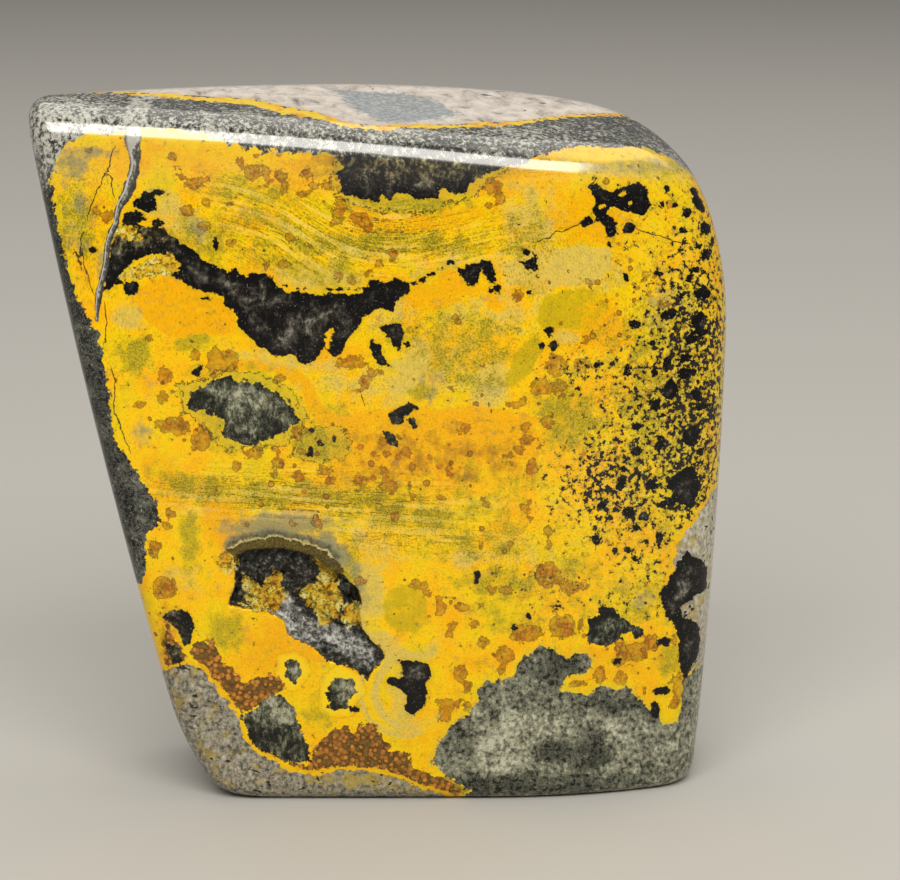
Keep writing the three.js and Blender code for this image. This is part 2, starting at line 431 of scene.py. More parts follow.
LEFT_ROCK_EDGE = [  # Z, X
    (35.2, -37.3), (37, -36.5), (40.4, -36.3), (42.8, -36), (44.1, -34.1), (47.5, -34.3),
    (50.1, -36), (52.3, -37.7), (55.1, -39), (56.9, -40.7), (60.8, -41.2), (64.8, -41.6),
    (69.4, -42.3), (73.4, -42.8), (76, -44.3), (78, -45.5), (80.5, -46.5), (84.3, -47.8),
    (88.9, -48.8), (93.7, -49.4), (97.3, -49.9), (100, -52),
]
LEFT_ROCK_LEAN = 0.45  # how much wider the rock down the left side gets for each mm inwards
LEFT_ROCK_SKIN = 1.5  # how deep under the face that starts
LEFT_ROCK_FOOT, FOOT_SLOPE = 34, 0.7


def level(table, at):
    """A value given at some places, read off between them."""
    places, values = np.array(table, float).T
    return np.interp(at, places, values)


layer = Y + Z
left_rock = X - level(LEFT_ROCK_EDGE, Z)
left_rock -= LEFT_ROCK_LEAN * np.maximum(front_depth - LEFT_ROCK_SKIN, 0)
left_rock = np.maximum(left_rock, (LEFT_ROCK_FOOT - Z) * FOOT_SLOPE)
top_rock = (level(DARK_FLOOR, X) - layer) * ACROSS_DIP
keep("dark_rock", np.clip(np.minimum(left_rock, top_rock), -FAR, FAR))
seam_low, seam_high = level(SEAM_FLOOR, X) - layer, layer - level(SEAM_ROOF, X)
seam_middle = (1 - SEAM_SHARE) * seam_high - SEAM_SHARE * seam_low
keep("seam", np.clip(np.maximum(seam_low, seam_middle) * ACROSS_DIP, -FAR, FAR))
keep("pale_rock", np.clip(-seam_middle * ACROSS_DIP, -FAR, FAR))

# A blue-grey cloud and small dark marks in the pale rock, on the top alone, as X and Y.
TOP_FLOOR = 98
TOP_CLOUD = [(-8, 4), (4, 5), (9, 2), (12, -3), (9, -6.5), (4, -9.5), (0, -11), (-2, -8), (-5, -4)]
keep("grey_cloud", np.maximum(to_outline(X, Y, TOP_CLOUD), TOP_FLOOR - Z))
TOP_MARKS = [
    (-18.5, -1.5, 0.9, 0.3), (-2, 6.5, 0.4, 0.9), (16, 9, 1, 0.4), (18, 8, 0.4), (22, 3, 0.6, 0.4),
    (-26, 5, 0.8, 0.5), (9, 11, 0.7, 0.4), (-10, 9, 0.5, 0.3), (25, 8, 0.5),
]
top_marks = np.min([to_spot(X, Y, spot) for spot in TOP_MARKS], axis=0)
keep("top_marks", np.maximum(top_marks, TOP_FLOOR - Z))

# Black mineral in ragged masses. The largest runs across the broad face below the vein.
BLACK_BAND = [
    (-39.9, 89.8), (-34.9, 90.1), (-33, 89.8), (-31.9, 88.7), (-28.8, 86.7), (-26.8, 84.8),
    (-24.3, 83.8), (-22.9, 83.2), (-21.9, 83.6), (-20.2, 82.3), (-20, 83), (-17.6, 83),
    (-15.7, 81.3), (-14.7, 80.3), (-9.5, 79.8), (-2.7, 80), (-1.9, 80.9), (-1.9, 81.9),
    (0.6, 81.5), (2.4, 82.3), (4.4, 81.2), (4, 79.7), (2.2, 78.7), (1.8, 77.3), (-0.9, 77.7),
    (-2.8, 76.1), (-3.9, 74.1), (-5.4, 72.5), (-6, 70.7), (-6.9, 70.3), (-8.05, 71.2),
    (-7.6, 73.5), (-6.95, 74.9), (-8.45, 74.1), (-9.2, 70.6), (-10.9, 69.1), (-12.8, 69.4),
    (-12.8, 70.5), (-14.3, 70.7), (-16.1, 70.2), (-17.1, 71.4), (-18.8, 71.9), (-19.5, 73.2),
    (-19.3, 71.1), (-19.8, 73.2), (-21.3, 74.1), (-21.9, 76.4), (-22.6, 77.4), (-23.9, 78),
    (-24, 79.5), (-26.8, 80.2), (-28.3, 80.5), (-29.9, 81.7), (-31.9, 82.9), (-30.4, 84.2),
    (-32.5, 85.5), (-34.5, 86), (-37.5, 84.8), (-39.9, 82.3), (-39, 81.6), (-42, 80.2),
    (-42, 82.5), (-41.1, 86.3),
]
BLACK_MASSES = [
    BLACK_BAND,
    [(-33.5, 95.6), (-32.7, 95.2), (-33.4, 94.7), (-34, 94.7), (-33.95, 93.1), (-33.4, 92.1),
     (-35.2, 92.4), (-37.6, 92.85), (-37.3, 93.9), (-35.65, 95)],
    [(-38.2, 92.4), (-36.5, 92.45), (-35.3, 91.05), (-37.6, 90.1), (-39.2, 90.1), (-39.1, 91.4)],
    [(-34, 91.3), (-32.8, 90.5), (-33.2, 90), (-34.9, 90.1)],
    [(-6.6, 100.6), (-5.3, 98.8), (-7.3, 98.2), (-5.9, 97.1), (-6.3, 95.2), (-4.2, 94.6),
     (-0.3, 93.7), (0.1, 95.4), (0.95, 93.8), (1.6, 93.6), (2.6, 95.4), (4.9, 94.6), (5.6, 94.1),
     (8.75, 94.3), (9.1, 95.9), (9.9, 95.8), (10.3, 95.2), (12.6, 95.1), (14.2, 97.1),
     (16.7, 98), (18.3, 98.9), (20.5, 99.2), (20.5, 103), (-6.6, 103)],
    [(-0.1, 74.9), (1.8, 75.6), (2.95, 75.6), (3.5, 73.5), (3.05, 71.4), (2.65, 71.2),
     (1.2, 73.15)],
    [(-1.85, 72.85), (-1.25, 72.95), (-0.8, 72.35), (-0.4, 73), (0.2, 70.8), (1.65, 68.55),
     (-0.4, 69.2), (-1.45, 70.8)],
    [(1.5, 62.05), (4.25, 63.3), (5.9, 62.4), (4.85, 61.85), (3.7, 60.8), (5.35, 60.75),
     (5.25, 59.4), (3.9, 60.2), (1.9, 59.5), (1.4, 60.8)],
    [(0.3, 58.6), (0.9, 58.9), (2.75, 57.4), (2.45, 56.4), (1.2, 56.75)],
    [(11.05, 84.5), (11.85, 83.8), (12.8, 83.8), (13, 84.4), (14.35, 84.5), (14.75, 84),
     (15.3, 84.9), (16.4, 84.9), (17.2, 83.9), (17.6, 82.1), (18.3, 80.2), (17.5, 80.4),
     (16.6, 82.3), (15.9, 83.4), (15, 83), (14.6, 81.8), (13.6, 80.6), (11.65, 83.4)],
    [(23.35, 85.8), (24, 85.9), (23.5, 84.7), (24.1, 83.7), (23.7, 83.1), (23.8, 82.2),
     (23.1, 83), (21.75, 83.55), (20.4, 85.1), (22.75, 84.7)],
    [(31.15, 95.8), (32.85, 96.3), (34.4, 95), (35.85, 94.5), (35.95, 95.8), (36.9, 95.5),
     (39.05, 96.1), (40.9, 94.8), (40.85, 93.6), (41.3, 92.3), (40, 90.9), (37.3, 91.6),
     (35.7, 92.5), (34.1, 92.2), (34.4, 91.4), (35.85, 90.1), (35.85, 88.5), (35.5, 87.9),
     (34.4, 88), (34.1, 89.5), (33.2, 90.3), (30.9, 89.5), (29.9, 90.2), (32, 91.7),
     (32.85, 93.6)],
    [(2.3, 22.9), (3.95, 22.8), (7.3, 22.5), (7.2, 21.25), (7.7, 20.2), (6.7, 19), (7.1, 17.4),
     (6.3, 15.1), (4.75, 14), (3.35, 15.1), (3.85, 17), (2.75, 18.4), (0.4, 19.2), (0.6, 19.9),
     (3.35, 20.2), (2.85, 22.3)],
    [(14.2, 37.2), (14.8, 37.1), (15.25, 36.5), (15.1, 35.7), (14.8, 34.9), (14.2, 34.7)],
    [(-33.9, 29.6), (-32.3, 31.2), (-30, 30.5), (-29, 28.9), (-29.1, 28), (-29.8, 25.4),
     (-30.9, 24.8), (-31.5, 27.4), (-33.1, 29)],
    [(-33.6, 25.4), (-31.4, 25), (-31, 22.6), (-32.6, 22)],
    [(-29.5, 67.2), (-27.75, 69.2), (-26.95, 69), (-27.7, 67.4)],
    [(46.6, 37.4), (47.5, 38.3), (49.9, 36.6), (51, 35.3), (51.3, 31.5), (48.9, 30.8),
     (46.6, 29.5), (46.6, 28.6), (47.7, 27.2), (44.7, 27.6), (43, 31.8), (44.75, 34.3)],
    [(4.7, 81.5), (6.4, 82.5), (8, 83.4), (8.2, 83), (6.6, 81.9), (4.9, 81)],
    [(8.6, 83.7), (9.7, 84.6), (10.7, 85.2), (10.9, 84.7), (9.9, 84), (8.9, 83.4)],
    [(44.9, 27.9), (46.4, 24.3), (46.3, 20.2), (47.4, 17.9), (49.4, 20.3), (50.2, 23.5),
     (49.6, 26.6), (47.2, 27.9)],
    [(47, 94.7), (48.7, 94.5), (50.7, 90.4), (49.5, 90), (48.2, 91)],
    [(43.6, 48.8), (45.6, 50.8), (47.3, 51.9), (49.3, 50.7), (49.1, 49.1), (49.7, 47.8),
     (48.1, 45.2), (46.2, 46), (42.9, 45.5), (41.9, 46.2), (44.7, 47.1), (45, 48)],
]
BLACK_SPOTS = [
    (-37.9, 80.7, 1.15), (-26.9, 79.1, 0.8, 0.25), (4, 72.3, 0.5), (16.6, 80.4, 0.35),
    (16.2, 83.2, 0.6, 0.9), (16.9, 82, 0.5, 0.9), (17.4, 80.8, 0.45, 0.6), (18, 80.1, 0.35),
    (22, 86.2, 0.65, 0.45), (37.8, 89.1, 0.9), (34.8, 86.7, 0.4, 0.3), (32.4, 97.1, 0.25),
    (43.6, 94.7, 0.5), (44.5, 93.5, 0.4), (42.9, 92.3, 0.6, 0.5), (45, 92, 0.4),
    (47, 90.9, 0.8, 0.9), (50.1, 87.9, 1.1, 1.2), (51.2, 86, 0.7), (50.3, 84, 1.1, 1),
    (46.3, 88.1, 0.6, 0.35), (48.6, 85.4, 0.8, 0.4), (48.6, 82, 0.6), (47.3, 80.9, 0.6, 0.8),
    (49.5, 78.2, 1.4, 1.1), (46.2, 78.3, 0.5), (51.8, 77.3, 0.4, 0.9), (42.7, 81.8, 0.8, 0.5),
    (37.4, 81.7, 0.4, 0.8), (34.9, 81.7, 0.3, 0.6), (49.2, 74, 1.4, 1.3), (49.4, 72.3, 1.1, 0.6),
    (47.8, 71.4, 0.9, 0.8), (46.7, 68.6, 1.2, 0.7), (43.9, 67.8, 0.8, 1.1), (46.7, 66.3, 1, 0.9),
    (48.5, 66.3, 0.7, 0.6), (44.5, 63.9, 1.2, 1.5), (48.9, 62.6, 1), (50.1, 60.8, 1.5, 0.7),
    (42.1, 61.9, 1, 1.1), (43.7, 60.1, 0.9, 0.5), (39.7, 61.8, 0.5), (39.5, 58.7, 0.9, 0.6),
    (42.9, 55.7, 0.8, 1.1), (48, 56.3, 1.4, 1.5), (39.3, 54.8, 0.9, 0.6), (37.6, 67.2, 0.6, 1),
    (33.1, 68.5, 0.8, 0.6), (35.4, 68.6, 0.5, 0.6), (38.8, 74.3, 1, 0.8), (41.7, 71.4, 0.6, 0.7),
    (41.9, 66.4, 0.4, 0.9), (44.3, 75.4, 1.5, 0.9), (30, 64.9, 0.45), (49.6, 53.8, 1, 0.5),
    (38, 45.4, 1), (40.5, 44.5, 1.2, 0.8), (39.4, 42.9, 0.7, 0.6), (37.4, 52, 0.7, 0.5),
    (37, 49.9, 0.9, 1.1), (39.6, 51, 0.6, 0.7), (41.7, 49.4, 1.3, 0.9), (34.1, 46.9, 0.8, 0.7),
    (34.4, 42.7, 0.7, 0.4), (38.2, 39.6, 0.8, 0.5), (36, 39.4, 0.5), (40.9, 40.5, 0.5, 0.7),
    (43.1, 40.8, 0.6, 1.3), (39.1, 37.9, 0.5), (33, 41.5, 0.9, 0.7), (25.5, 73.6, 0.5),
    (26.2, 71.8, 0.8), (24.6, 71.8, 0.5), (25.6, 74.1, 0.9, 0.5), (-9.3, 56.95, 0.5),
    (-10.9, 56.2, 0.4, 1), (-7.2, 57.6, 0.4), (-10.6, 59.2, 0.4), (43.9, 24.3, 1.1, 0.7),
    (36.6, 22, 0.8, 0.5), (43.9, 16.4, 1.3, 0.8), (42.7, 13.2, 0.8, 1.2), (22.6, 29.7, 0.5),
    (26.9, 31.2, 0.8, 0.3), (20.3, 28, 0.5), (24.6, 51.8, 0.5), (10.1, 63.7, 0.3), (-4.5, 15, 0.7),
    (21.6, 80.9, 0.3), (22.6, 81.5, 0.35), (23.4, 80.7, 0.4), (22.5, 80.1, 0.3),
    (-14.9, 81.1, 1, 0.15), (-6, 80.6, 3, 0.15), (-24.8, 87.5, 0.5, 0.9), (-43.7, 86.4, 0.6),
    (-38.6, 66, 0.3), (32.2, 79.9, 0.3),
]
YELLOW_GAPS = [(36.8, 94.2, 0.6, 0.3), (37.9, 92.8, 0.25), (33.7, 92.6, 0.4), (32.4, 91.2, 0.3)]
BACK_BLACK = [
    [(-26, 52), (-18, 56), (-9, 54), (-4, 49), (4, 47), (9, 43), (6, 38), (-2, 40), (-8, 44),
     (-13, 42), (-20, 45), (-27, 47)],
    [(22, 40), (27, 43), (31, 39), (29, 34), (24, 33)],
    [(12, 58), (16, 61), (22, 60), (21, 56), (15, 55)],
    [(-34, 70), (-29, 72), (-25, 68), (-30, 65)],
]
gaps = body(spots=YELLOW_GAPS)
black = np.maximum(body(BLACK_MASSES, BLACK_SPOTS, reach=12), -gaps)
black = np.minimum(black, body(BACK_BLACK, reach=9, depth=back_depth))
keep("black", black)

# Grey-green inclusions of altered ash, each with a paler heart, and the tuff at the lower right.
ASH_LENS = [
    (-29, 64.7), (-29.35, 62.2), (-28.2, 62), (-26.6, 62.6), (-26.3, 61.7), (-24, 60.6),
    (-24.2, 58), (-22.5, 57.1), (-20.35, 56.4), (-18, 57.15), (-16.1, 57.9), (-14.4, 58.6),
    (-13.7, 59.9), (-12.55, 60.4), (-13.2, 62.4), (-14.65, 63.85), (-17.2, 65.7), (-18.9, 66.2),
    (-22.2, 66.7), (-23.6, 67.3), (-26.4, 66.3), (-28.2, 65.1),
]
ASH_PEBBLES = [
    ASH_LENS,
    [(-15, 22.7), (-13.65, 22.9), (-12.85, 22.5), (-12.5, 21), (-13.85, 19.25), (-15.3, 20.2)],
    [(-8.2, 19.4), (-6.6, 20.6), (-4.4, 19.4), (-4, 18.2), (-5.4, 16.3), (-5.3, 15.1),
     (-6.8, 15), (-8.55, 15.3), (-8.5, 17.1)],
    [(-15.7, 17.3), (-13.7, 15.5), (-13.1, 12.8), (-11.1, 8.1), (-11.2, 6.6), (-14, 6.2),
     (-17.6, 7.9), (-20.2, 8.9), (-22.1, 14.1), (-20.7, 14.7), (-18.9, 15.9), (-17.1, 17)],
    [(31.9, 28.8), (31.8, 24.9), (34.7, 24.3), (37.25, 25.5), (36.9, 26.5), (38.35, 26.4),
     (40, 25.1), (41.4, 26.6), (38.35, 27.7), (36.1, 29.7), (33.8, 31.5), (33.4, 29.5)],
]
TUFF = [
    (7.7, 6), (8.4, 8.7), (9.1, 10.1), (10.5, 12.4), (12.7, 13.9), (14.3, 15.2), (15, 18.1),
    (15.85, 19.4), (19.6, 19.7), (20.7, 21.4), (22.1, 23.4), (24.6, 25), (26.9, 24), (28.9, 22.7),
    (30.3, 23.9), (31.7, 23.7), (33.2, 21.8), (30.8, 20.1), (28.6, 20), (27.7, 18.1), (31.2, 17),
    (34.1, 17.9), (38.4, 17.3), (41, 14.7), (43.4, 12.1), (43.9, 11), (46.2, 11), (46.9, 13.4),
    (47.3, 17.4), (49, 19), (60, 20), (60, -6), (8, -6), (13.5, 1.7),
]
BACK_TUFF = [(60, 30), (38, 26), (30, 19), (22, 17), (12, 9), (6, -6), (60, -6)]
BACK_ASH = [[(-12, 24), (-5, 27), (0, 23), (-3, 17), (-10, 16), (-15, 19)]]
ash = np.minimum(body(ASH_PEBBLES, reach=7), body(BACK_ASH, reach=8, depth=back_depth))
keep("ash", ash)
keep("ringed", body(ASH_PEBBLES[1:3], reach=4))
tuff = np.minimum(body([TUFF], reach=26), body([BACK_TUFF], reach=30, depth=back_depth))
keep("tuff", tuff)

# Light grey pitted matrix: the lower left under a yellow rim, and a wedge at the right side.
MATRIX = [
    (-29.6, 22.2), (-28.1, 21.5), (-26, 18.6), (-24.2, 16.3), (-22.2, 12.8), (-21.5, 10.1),
    (-19.6, 7.9), (-17.4, 7), (-15, 5.2), (-11.5, 4.2), (-6.3, 5.2), (-1.1, 4.8), (2.9, 3.5),
    (5.7, 2.1), (10.1, 0.9), (10, -6), (-50, -6), (-50, 20), (-33.6, 21),
]
WEDGE = [
    (60, 50), (51.6, 47.3), (50, 44.7), (48.5, 42.8), (45.9, 39.9), (45.6, 37.6), (45.2, 34),
    (44.6, 31.8), (45.6, 28), (46.6, 25.2), (47.1, 22), (47.9, 19.4), (49, 18), (60, 14),
]
BACK_MATRIX = [(-50, 22), (-36, 25), (-28, 20), (-20, 13), (-8, 9), (0, 4), (2, -6), (-50, -6)]
matrix = np.minimum(body([MATRIX], reach=16), body([WEDGE], reach=20))
matrix = np.minimum(matrix, body([BACK_MATRIX], reach=30, depth=back_depth))
keep("matrix", matrix)

# Rust: a crust of small round concretions at the foot, and single spots all over the yellow.
CRUST = [
    [(-29, 22.7), (-30, 24.5), (-28.8, 25.6), (-25.8, 26.1), (-24.8, 22.6), (-22.9, 22),
     (-21.7, 18.8), (-19.1, 20.4), (-16.4, 20.4), (-14.9, 18.6), (-16.9, 17), (-20.6, 14.7),
     (-22, 14.3), (-24.1, 17), (-26.7, 19.6)],
    [(-11.2, 6), (-10.4, 9.1), (-9, 10.8), (-7.4, 11.8), (-5.8, 12), (-4.8, 11.4), (-3.3, 12.6),
     (-1.5, 13.2), (-0.1, 10.4), (1.7, 8.3), (3.8, 8.3), (4.2, 6), (7.9, 4.2), (11.5, 3.8),
     (13.5, 1.7), (11.5, 0.7), (7.1, 1.9), (3, 4), (-1, 5.1), (-8.1, 5), (-11.5, 4.5),
     (-15.8, 6.5), (-21.5, 9.5), (-20.5, 10.2), (-15.5, 7.4), (-13, 6)],
    [(-33.4, 29), (-30.5, 24), (-30.5, 19.5), (-34, 21)],
]
BACK_CRUST = [
    [(-34, 30), (-26, 27), (-18, 22), (-10, 16), (-2, 12), (4, 7), (-4, 8), (-16, 14), (-28, 21)],
    [(26, 30), (33, 33), (40, 31), (38, 27), (30, 25)],
]
keep("crust", np.minimum(body(CRUST, reach=8), body(BACK_CRUST, reach=8, depth=back_depth)))
RUST_SPOTS = [
    (-27.7, 57.5, 1.4, 1.9), (-31.6, 59.5, 2.2, 1.2), (-33.2, 64, 0.7, 1), (-37, 62.9, 0.6),
    (-33, 67.4, 0.9, 1.2), (-35.1, 73, 0.4), (-28.4, 70.6, 0.8), (-25.3, 69.4, 1.2, 2),
    (-23.6, 69.6, 2, 1.6), (-33.6, 34.1, 1.9, 1.6), (-35, 40.3, 0.8, 1.3), (-32.4, 46, 0.7),
    (-33, 44.1, 0.6), (-17.2, 98.1, 0.55, 1.1), (-19.2, 98.1, 1.2), (-14.9, 97.8, 0.9),
    (-10.8, 98.4, 0.4, 0.6), (-11.7, 97.9, 0.4), (-14.5, 95.8, 0.5, 0.7), (-11.5, 95.2, 0.6, 0.5),
    (-10.15, 96.2, 0.4), (-8.35, 96.4, 0.4), (-7.8, 96.2, 0.4), (-21.1, 99.8, 0.5),
    (-13.75, 88.4, 0.7), (-14.6, 84.5, 0.7, 0.6), (-17.2, 84.1, 0.6), (-22.4, 93.3, 0.5),
    (-22.7, 87.6, 0.5), (-6.35, 82.6, 0.6), (-4.6, 82.2, 0.6), (-1.8, 83, 0.35),
    (-0.25, 84.7, 0.5), (2, 86, 0.6), (1.6, 84.8, 0.4), (-29.1, 92.6, 0.75), (-26.6, 90.1, 0.6),
    (-31.6, 100.4, 0.5), (-30.4, 97.9, 0.5, 0.8), (-27.5, 96.6, 1.6, 0.8), (-26.4, 93.9, 0.6),
    (-43.1, 92.5, 0.4), (-41.2, 91.5, 0.8), (-15.65, 53.9, 0.7, 0.8), (-16.5, 52.3, 0.6),
    (-12.65, 51.7, 0.6, 0.5), (-8.6, 52.7, 1, 0.7), (-7.9, 51.1, 0.5, 0.7), (-3.2, 51.1, 0.9),
    (1.1, 50.5, 1.1, 1.2), (0.15, 52.65, 0.5), (0.75, 55.1, 0.55), (0.25, 57.1, 0.5),
    (2.9, 57.8, 0.4), (3.75, 55.6, 0.55), (-22.2, 53.5, 0.7), (-19.6, 55.5, 1.2, 0.9),
    (-15.9, 55.9, 0.8, 0.4), (-15.7, 66.8, 0.65), (-12.1, 58.9, 1, 0.4), (-12.7, 57.7, 0.8, 0.5),
    (-12.25, 55.95, 0.5), (-2.5, 66.3, 1, 1.1), (-0.95, 67.85, 1, 0.7), (-3.1, 65.3, 0.5),
    (-4.6, 69.4, 2.2, 0.8), (16.9, 96, 1.3, 1.2), (18.2, 94.5, 0.8), (16.3, 93.4, 0.4),
    (26.5, 68.6, 1.6), (30.8, 68.7, 1.2), (24.7, 65.4, 1.6, 1.2), (27.2, 65.4, 0.8, 1.2),
    (21.7, 63.2, 0.6), (20.2, 62.8, 0.9, 0.5), (22.1, 59.4, 0.8), (22.4, 57.1, 0.9, 0.65),
    (21, 55.75, 0.45, 0.6), (19.55, 55.1, 0.5), (24.3, 56.6, 0.45), (25.5, 60, 0.9),
    (23.15, 53.35, 0.9, 1.1), (19.5, 53.7, 0.45), (10.4, 52.6, 0.5), (12.5, 59.2, 0.9, 0.7),
    (11.1, 65.1, 0.4), (14.75, 62.9, 0.4), (11.5, 76, 0.6), (3.7, 55.4, 0.55), (5, 53.3, 0.6),
    (4.3, 50.3, 0.4), (4.9, 48.7, 0.35), (9, 48.5, 0.4), (4.95, 34.7, 0.6), (6.4, 34.9, 0.45),
    (7.1, 33.5, 0.4), (9, 32.7, 0.4), (9, 31.1, 0.9), (12.4, 31.3, 0.8), (15.4, 31.7, 0.4),
    (16.9, 34.1, 0.8, 0.6), (19.5, 34.1, 1, 0.55), (17.9, 36.9, 0.4), (15.2, 41.2, 0.4),
    (19.8, 41.3, 0.4), (25.7, 41.1, 0.6), (22.7, 45, 0.4), (22, 46.7, 0.5), (25.6, 43.3, 0.5),
    (14, 28.8, 0.7), (10.7, 28.4, 0.5), (10.4, 27, 0.4), (2, 45.5, 0.55), (15.8, 47.7, 0.5),
    (25.7, 36.2, 1.9), (28, 34.5, 0.7), (29.6, 33.9, 1.5, 0.8), (12.4, 20.8, 1), (11.9, 20, 0.5),
    (13.1, 18.6, 0.6, 1), (9.7, 14.1, 0.8, 1.3), (10.7, 15.7, 1.7, 0.7), (13.1, 15.5, 0.6),
    (15.8, 25.5, 0.9), (19, 23.6, 1.4, 1.3), (18.4, 21.4, 0.5, 0.7), (22.5, 27, 2.3, 1.2),
    (27.9, 28, 2, 1.8), (30.5, 28.1, 0.6, 0.8), (39.9, 22.5, 1.1), (41.8, 24.3, 0.9, 1.3),
    (30.4, 18.6, 1.1, 0.5), (33.8, 20, 0.8, 1.2), (37, 19.2, 0.9, 1), (45.9, 24.3, 0.8),
    (46.5, 16.9, 1, 1.8), (46, 14.3, 0.9), (44.2, 92.3, 0.6), (40.3, 81.6, 0.7),
    (46.5, 73.8, 0.45), (43.9, 77, 1, 0.5), (52, 69, 0.6), (50.7, 77.3, 0.5), (48.5, 58.1, 0.45),
    (41.2, 63.5, 0.6), (31.5, 81.1, 0.5), (31.3, 72.4, 0.5), (20.9, 79.6, 0.7),
    (-44.1, 101.5, 0.5), (-20.6, 44.3, 0.45), (-13.5, 44.6, 0.5), (-9.9, 44.5, 0.7),
    (-3.5, 35.5, 0.7, 0.5), (2.1, 45.7, 0.6), (-19.2, 82.6, 0.5), (-17.2, 82.1, 0.5),
]
RUST_PATCHES = [
    [(-6.5, 94.1), (-5.3, 94), (-5.1, 93), (-5.9, 90.9), (-7.8, 90.1), (-7.3, 92.3)],
    [(-4.9, 91.3), (-2.8, 92.3), (-1.85, 91.9), (-1.3, 90), (-1.6, 89.1), (-2.4, 89.2),
     (-2.8, 90.4)],
    [(36, 24.8), (41, 24.3), (41.5, 22), (36.5, 21.3)],
]
BACK_RUST_SPOTS = [
    (-12, 64, 1.6), (-6, 62, 1), (2, 56, 1.4, 1), (30, 52, 1.8), (34, 60, 1.2), (24, 48, 1),
]
BACK_RUST_PATCHES = [[(8, 70), (14, 73), (17, 70), (12, 67)]]
rust = body(RUST_PATCHES, RUST_SPOTS, reach=4)
back_rust = body(BACK_RUST_PATCHES, BACK_RUST_SPOTS, reach=4, depth=back_depth)
keep("rust", np.minimum(rust, back_rust))

# The calcite vein at the upper left, and hairline cracks that were healed with dark mineral.
VEIN = [
    (-37.1, 106), (-37.2, 103), (-37.1, 101.3), (-36.95, 100), (-37.2, 98.3), (-37.75, 96.6),
    (-38.2, 95.2), (-39.1, 93.7), (-39.75, 92.2), (-39.95, 90.6), (-40.75, 89.1), (-41.3, 87.3),
    (-41.6, 84.5), (-42.2, 82.1), (-42.75, 80.2), (-43.05, 78), (-43.2, 75.6),
]
VEIN_WIDTHS = [  # Z, width
    (75, 0.3), (76, 0.6), (80, 1.05), (84, 0.95), (89, 1), (92, 0.95), (94, 1.5), (96.5, 1.8),
    (98.5, 1.6), (100, 1.6), (101.3, 1.9), (103, 2.5),
]
VEIN_WHITENS = (99.8, 102.2)  # Z: white all across above this
VEIN_WHITE = -0.4  # the place across it, from -1 to 1, that is then shown all over
VEIN_ENDS = (104.9, 105.9)  # Z: it thins out into fibres here
VEIN_DEPTH = 16
FIBRES_X, FIBRES_FRONT, FIBRES_LEAN = -37.1, -17, 0.07  # white fibres go on over the rim
FIBRES_HALF = (1.95, 0.65)  # how far to each side they are gone, and how far they are full
FIBRES_FLOOR, FIBRES_BACK = 100.5, -3
across, nearest = along_line(VEIN)
vein_half = level(VEIN_WIDTHS, Z) / 2
whiter = rising(Z, *VEIN_WHITENS)
keep("vein", np.clip(across / vein_half, -FAR, FAR) * (1 - whiter) + VEIN_WHITE * whiter)
nearest = nearest / vein_half + rising(Z, *VEIN_ENDS) + FAR * (front_depth > VEIN_DEPTH)
keep("vein_near", np.minimum(nearest, FAR))
off_fibres = np.abs(X - FIBRES_X - FIBRES_LEAN * (Y - FIBRES_FRONT))
vein_fibres = 2.2 * rising(off_fibres, *FIBRES_HALF) * (Z > FIBRES_FLOOR) * (Y < FIBRES_BACK)
CRACKS = [
    [(-40.15, 101.8), (-41.1, 98.7), (-41.7, 97.7), (-43.05, 94.8), (-44.4, 91.4), (-44.6, 90.1),
     (-45.45, 88.1)],
    [(-45.3, 87.6), (-45.1, 84.4), (-44.5, 82.7), (-43.7, 80)],
    [(-45.8, 87.6), (-46.8, 85.4)],
    [(-41.5, 98.1), (-40.5, 97.5), (-40.7, 95.6), (-40.2, 94.5)],
    [(-41.95, 78.2), (-41.65, 75.5), (-42, 72.5)],
    [(39.1, 88.9), (41.4, 87.9), (43.9, 87.2), (45, 86.5), (47, 86.1)],
    [(23.9, 87.7), (25.6, 88.1), (26.4, 89.1), (27.5, 89.1), (29.9, 90)],
    [(-41.1, 68.3), (-40.5, 66.5), (-40.9, 62.4), (-39.4, 57.9), (-38.5, 55.7)],
    [(-3, 64.5), (-2.6, 63.2)],
]
crack, crack_near = np.full(len(X), FAR), np.full(len(X), FAR)
for line in CRACKS:
    across, nearest = along_line(line)
    nearest = np.maximum(nearest, front_depth - FACE_SKIN)
    crack = np.where(nearest < crack_near, across, crack)
    crack_near = np.minimum(nearest, crack_near)
keep("crack", np.clip(crack, -FAR, FAR))
keep("crack_near", crack_near)

# Zones that one dark line bounds: the fringe under the top mass, and the rims round the ash lens
# and the olive patch right of it.
CONTOURS = [
    [(-6.8, 100), (-7.6, 96), (-4.9, 93.6), (-3, 93), (-0.9, 92.5), (2.2, 92.4), (7.8, 92.4),
     (9.1, 93.2), (12.8, 93.8), (14.2, 94.6), (15.7, 96.3), (17.5, 97.4), (20, 99), (10, 101)],
    [(-25.6, 58.6), (-25.2, 57), (-23.7, 56.1), (-21.7, 55.5), (-18.8, 56.4), (-15.1, 56.5),
     (-12.5, 58.5), (-11.5, 61), (-13, 64.8), (-17.5, 67.6), (-23, 68.6), (-28.5, 66.6),
     (-31.2, 66.2), (-30.8, 63.5), (-30.2, 61.6), (-27.7, 60.1)],
    [(-13.8, 55), (-9.5, 53.8), (-5.5, 54.8), (-4.4, 57), (-6, 59.4), (-9.5, 59.8), (-13, 58.2)],
]
keep("contour", body(CONTOURS, reach=5))

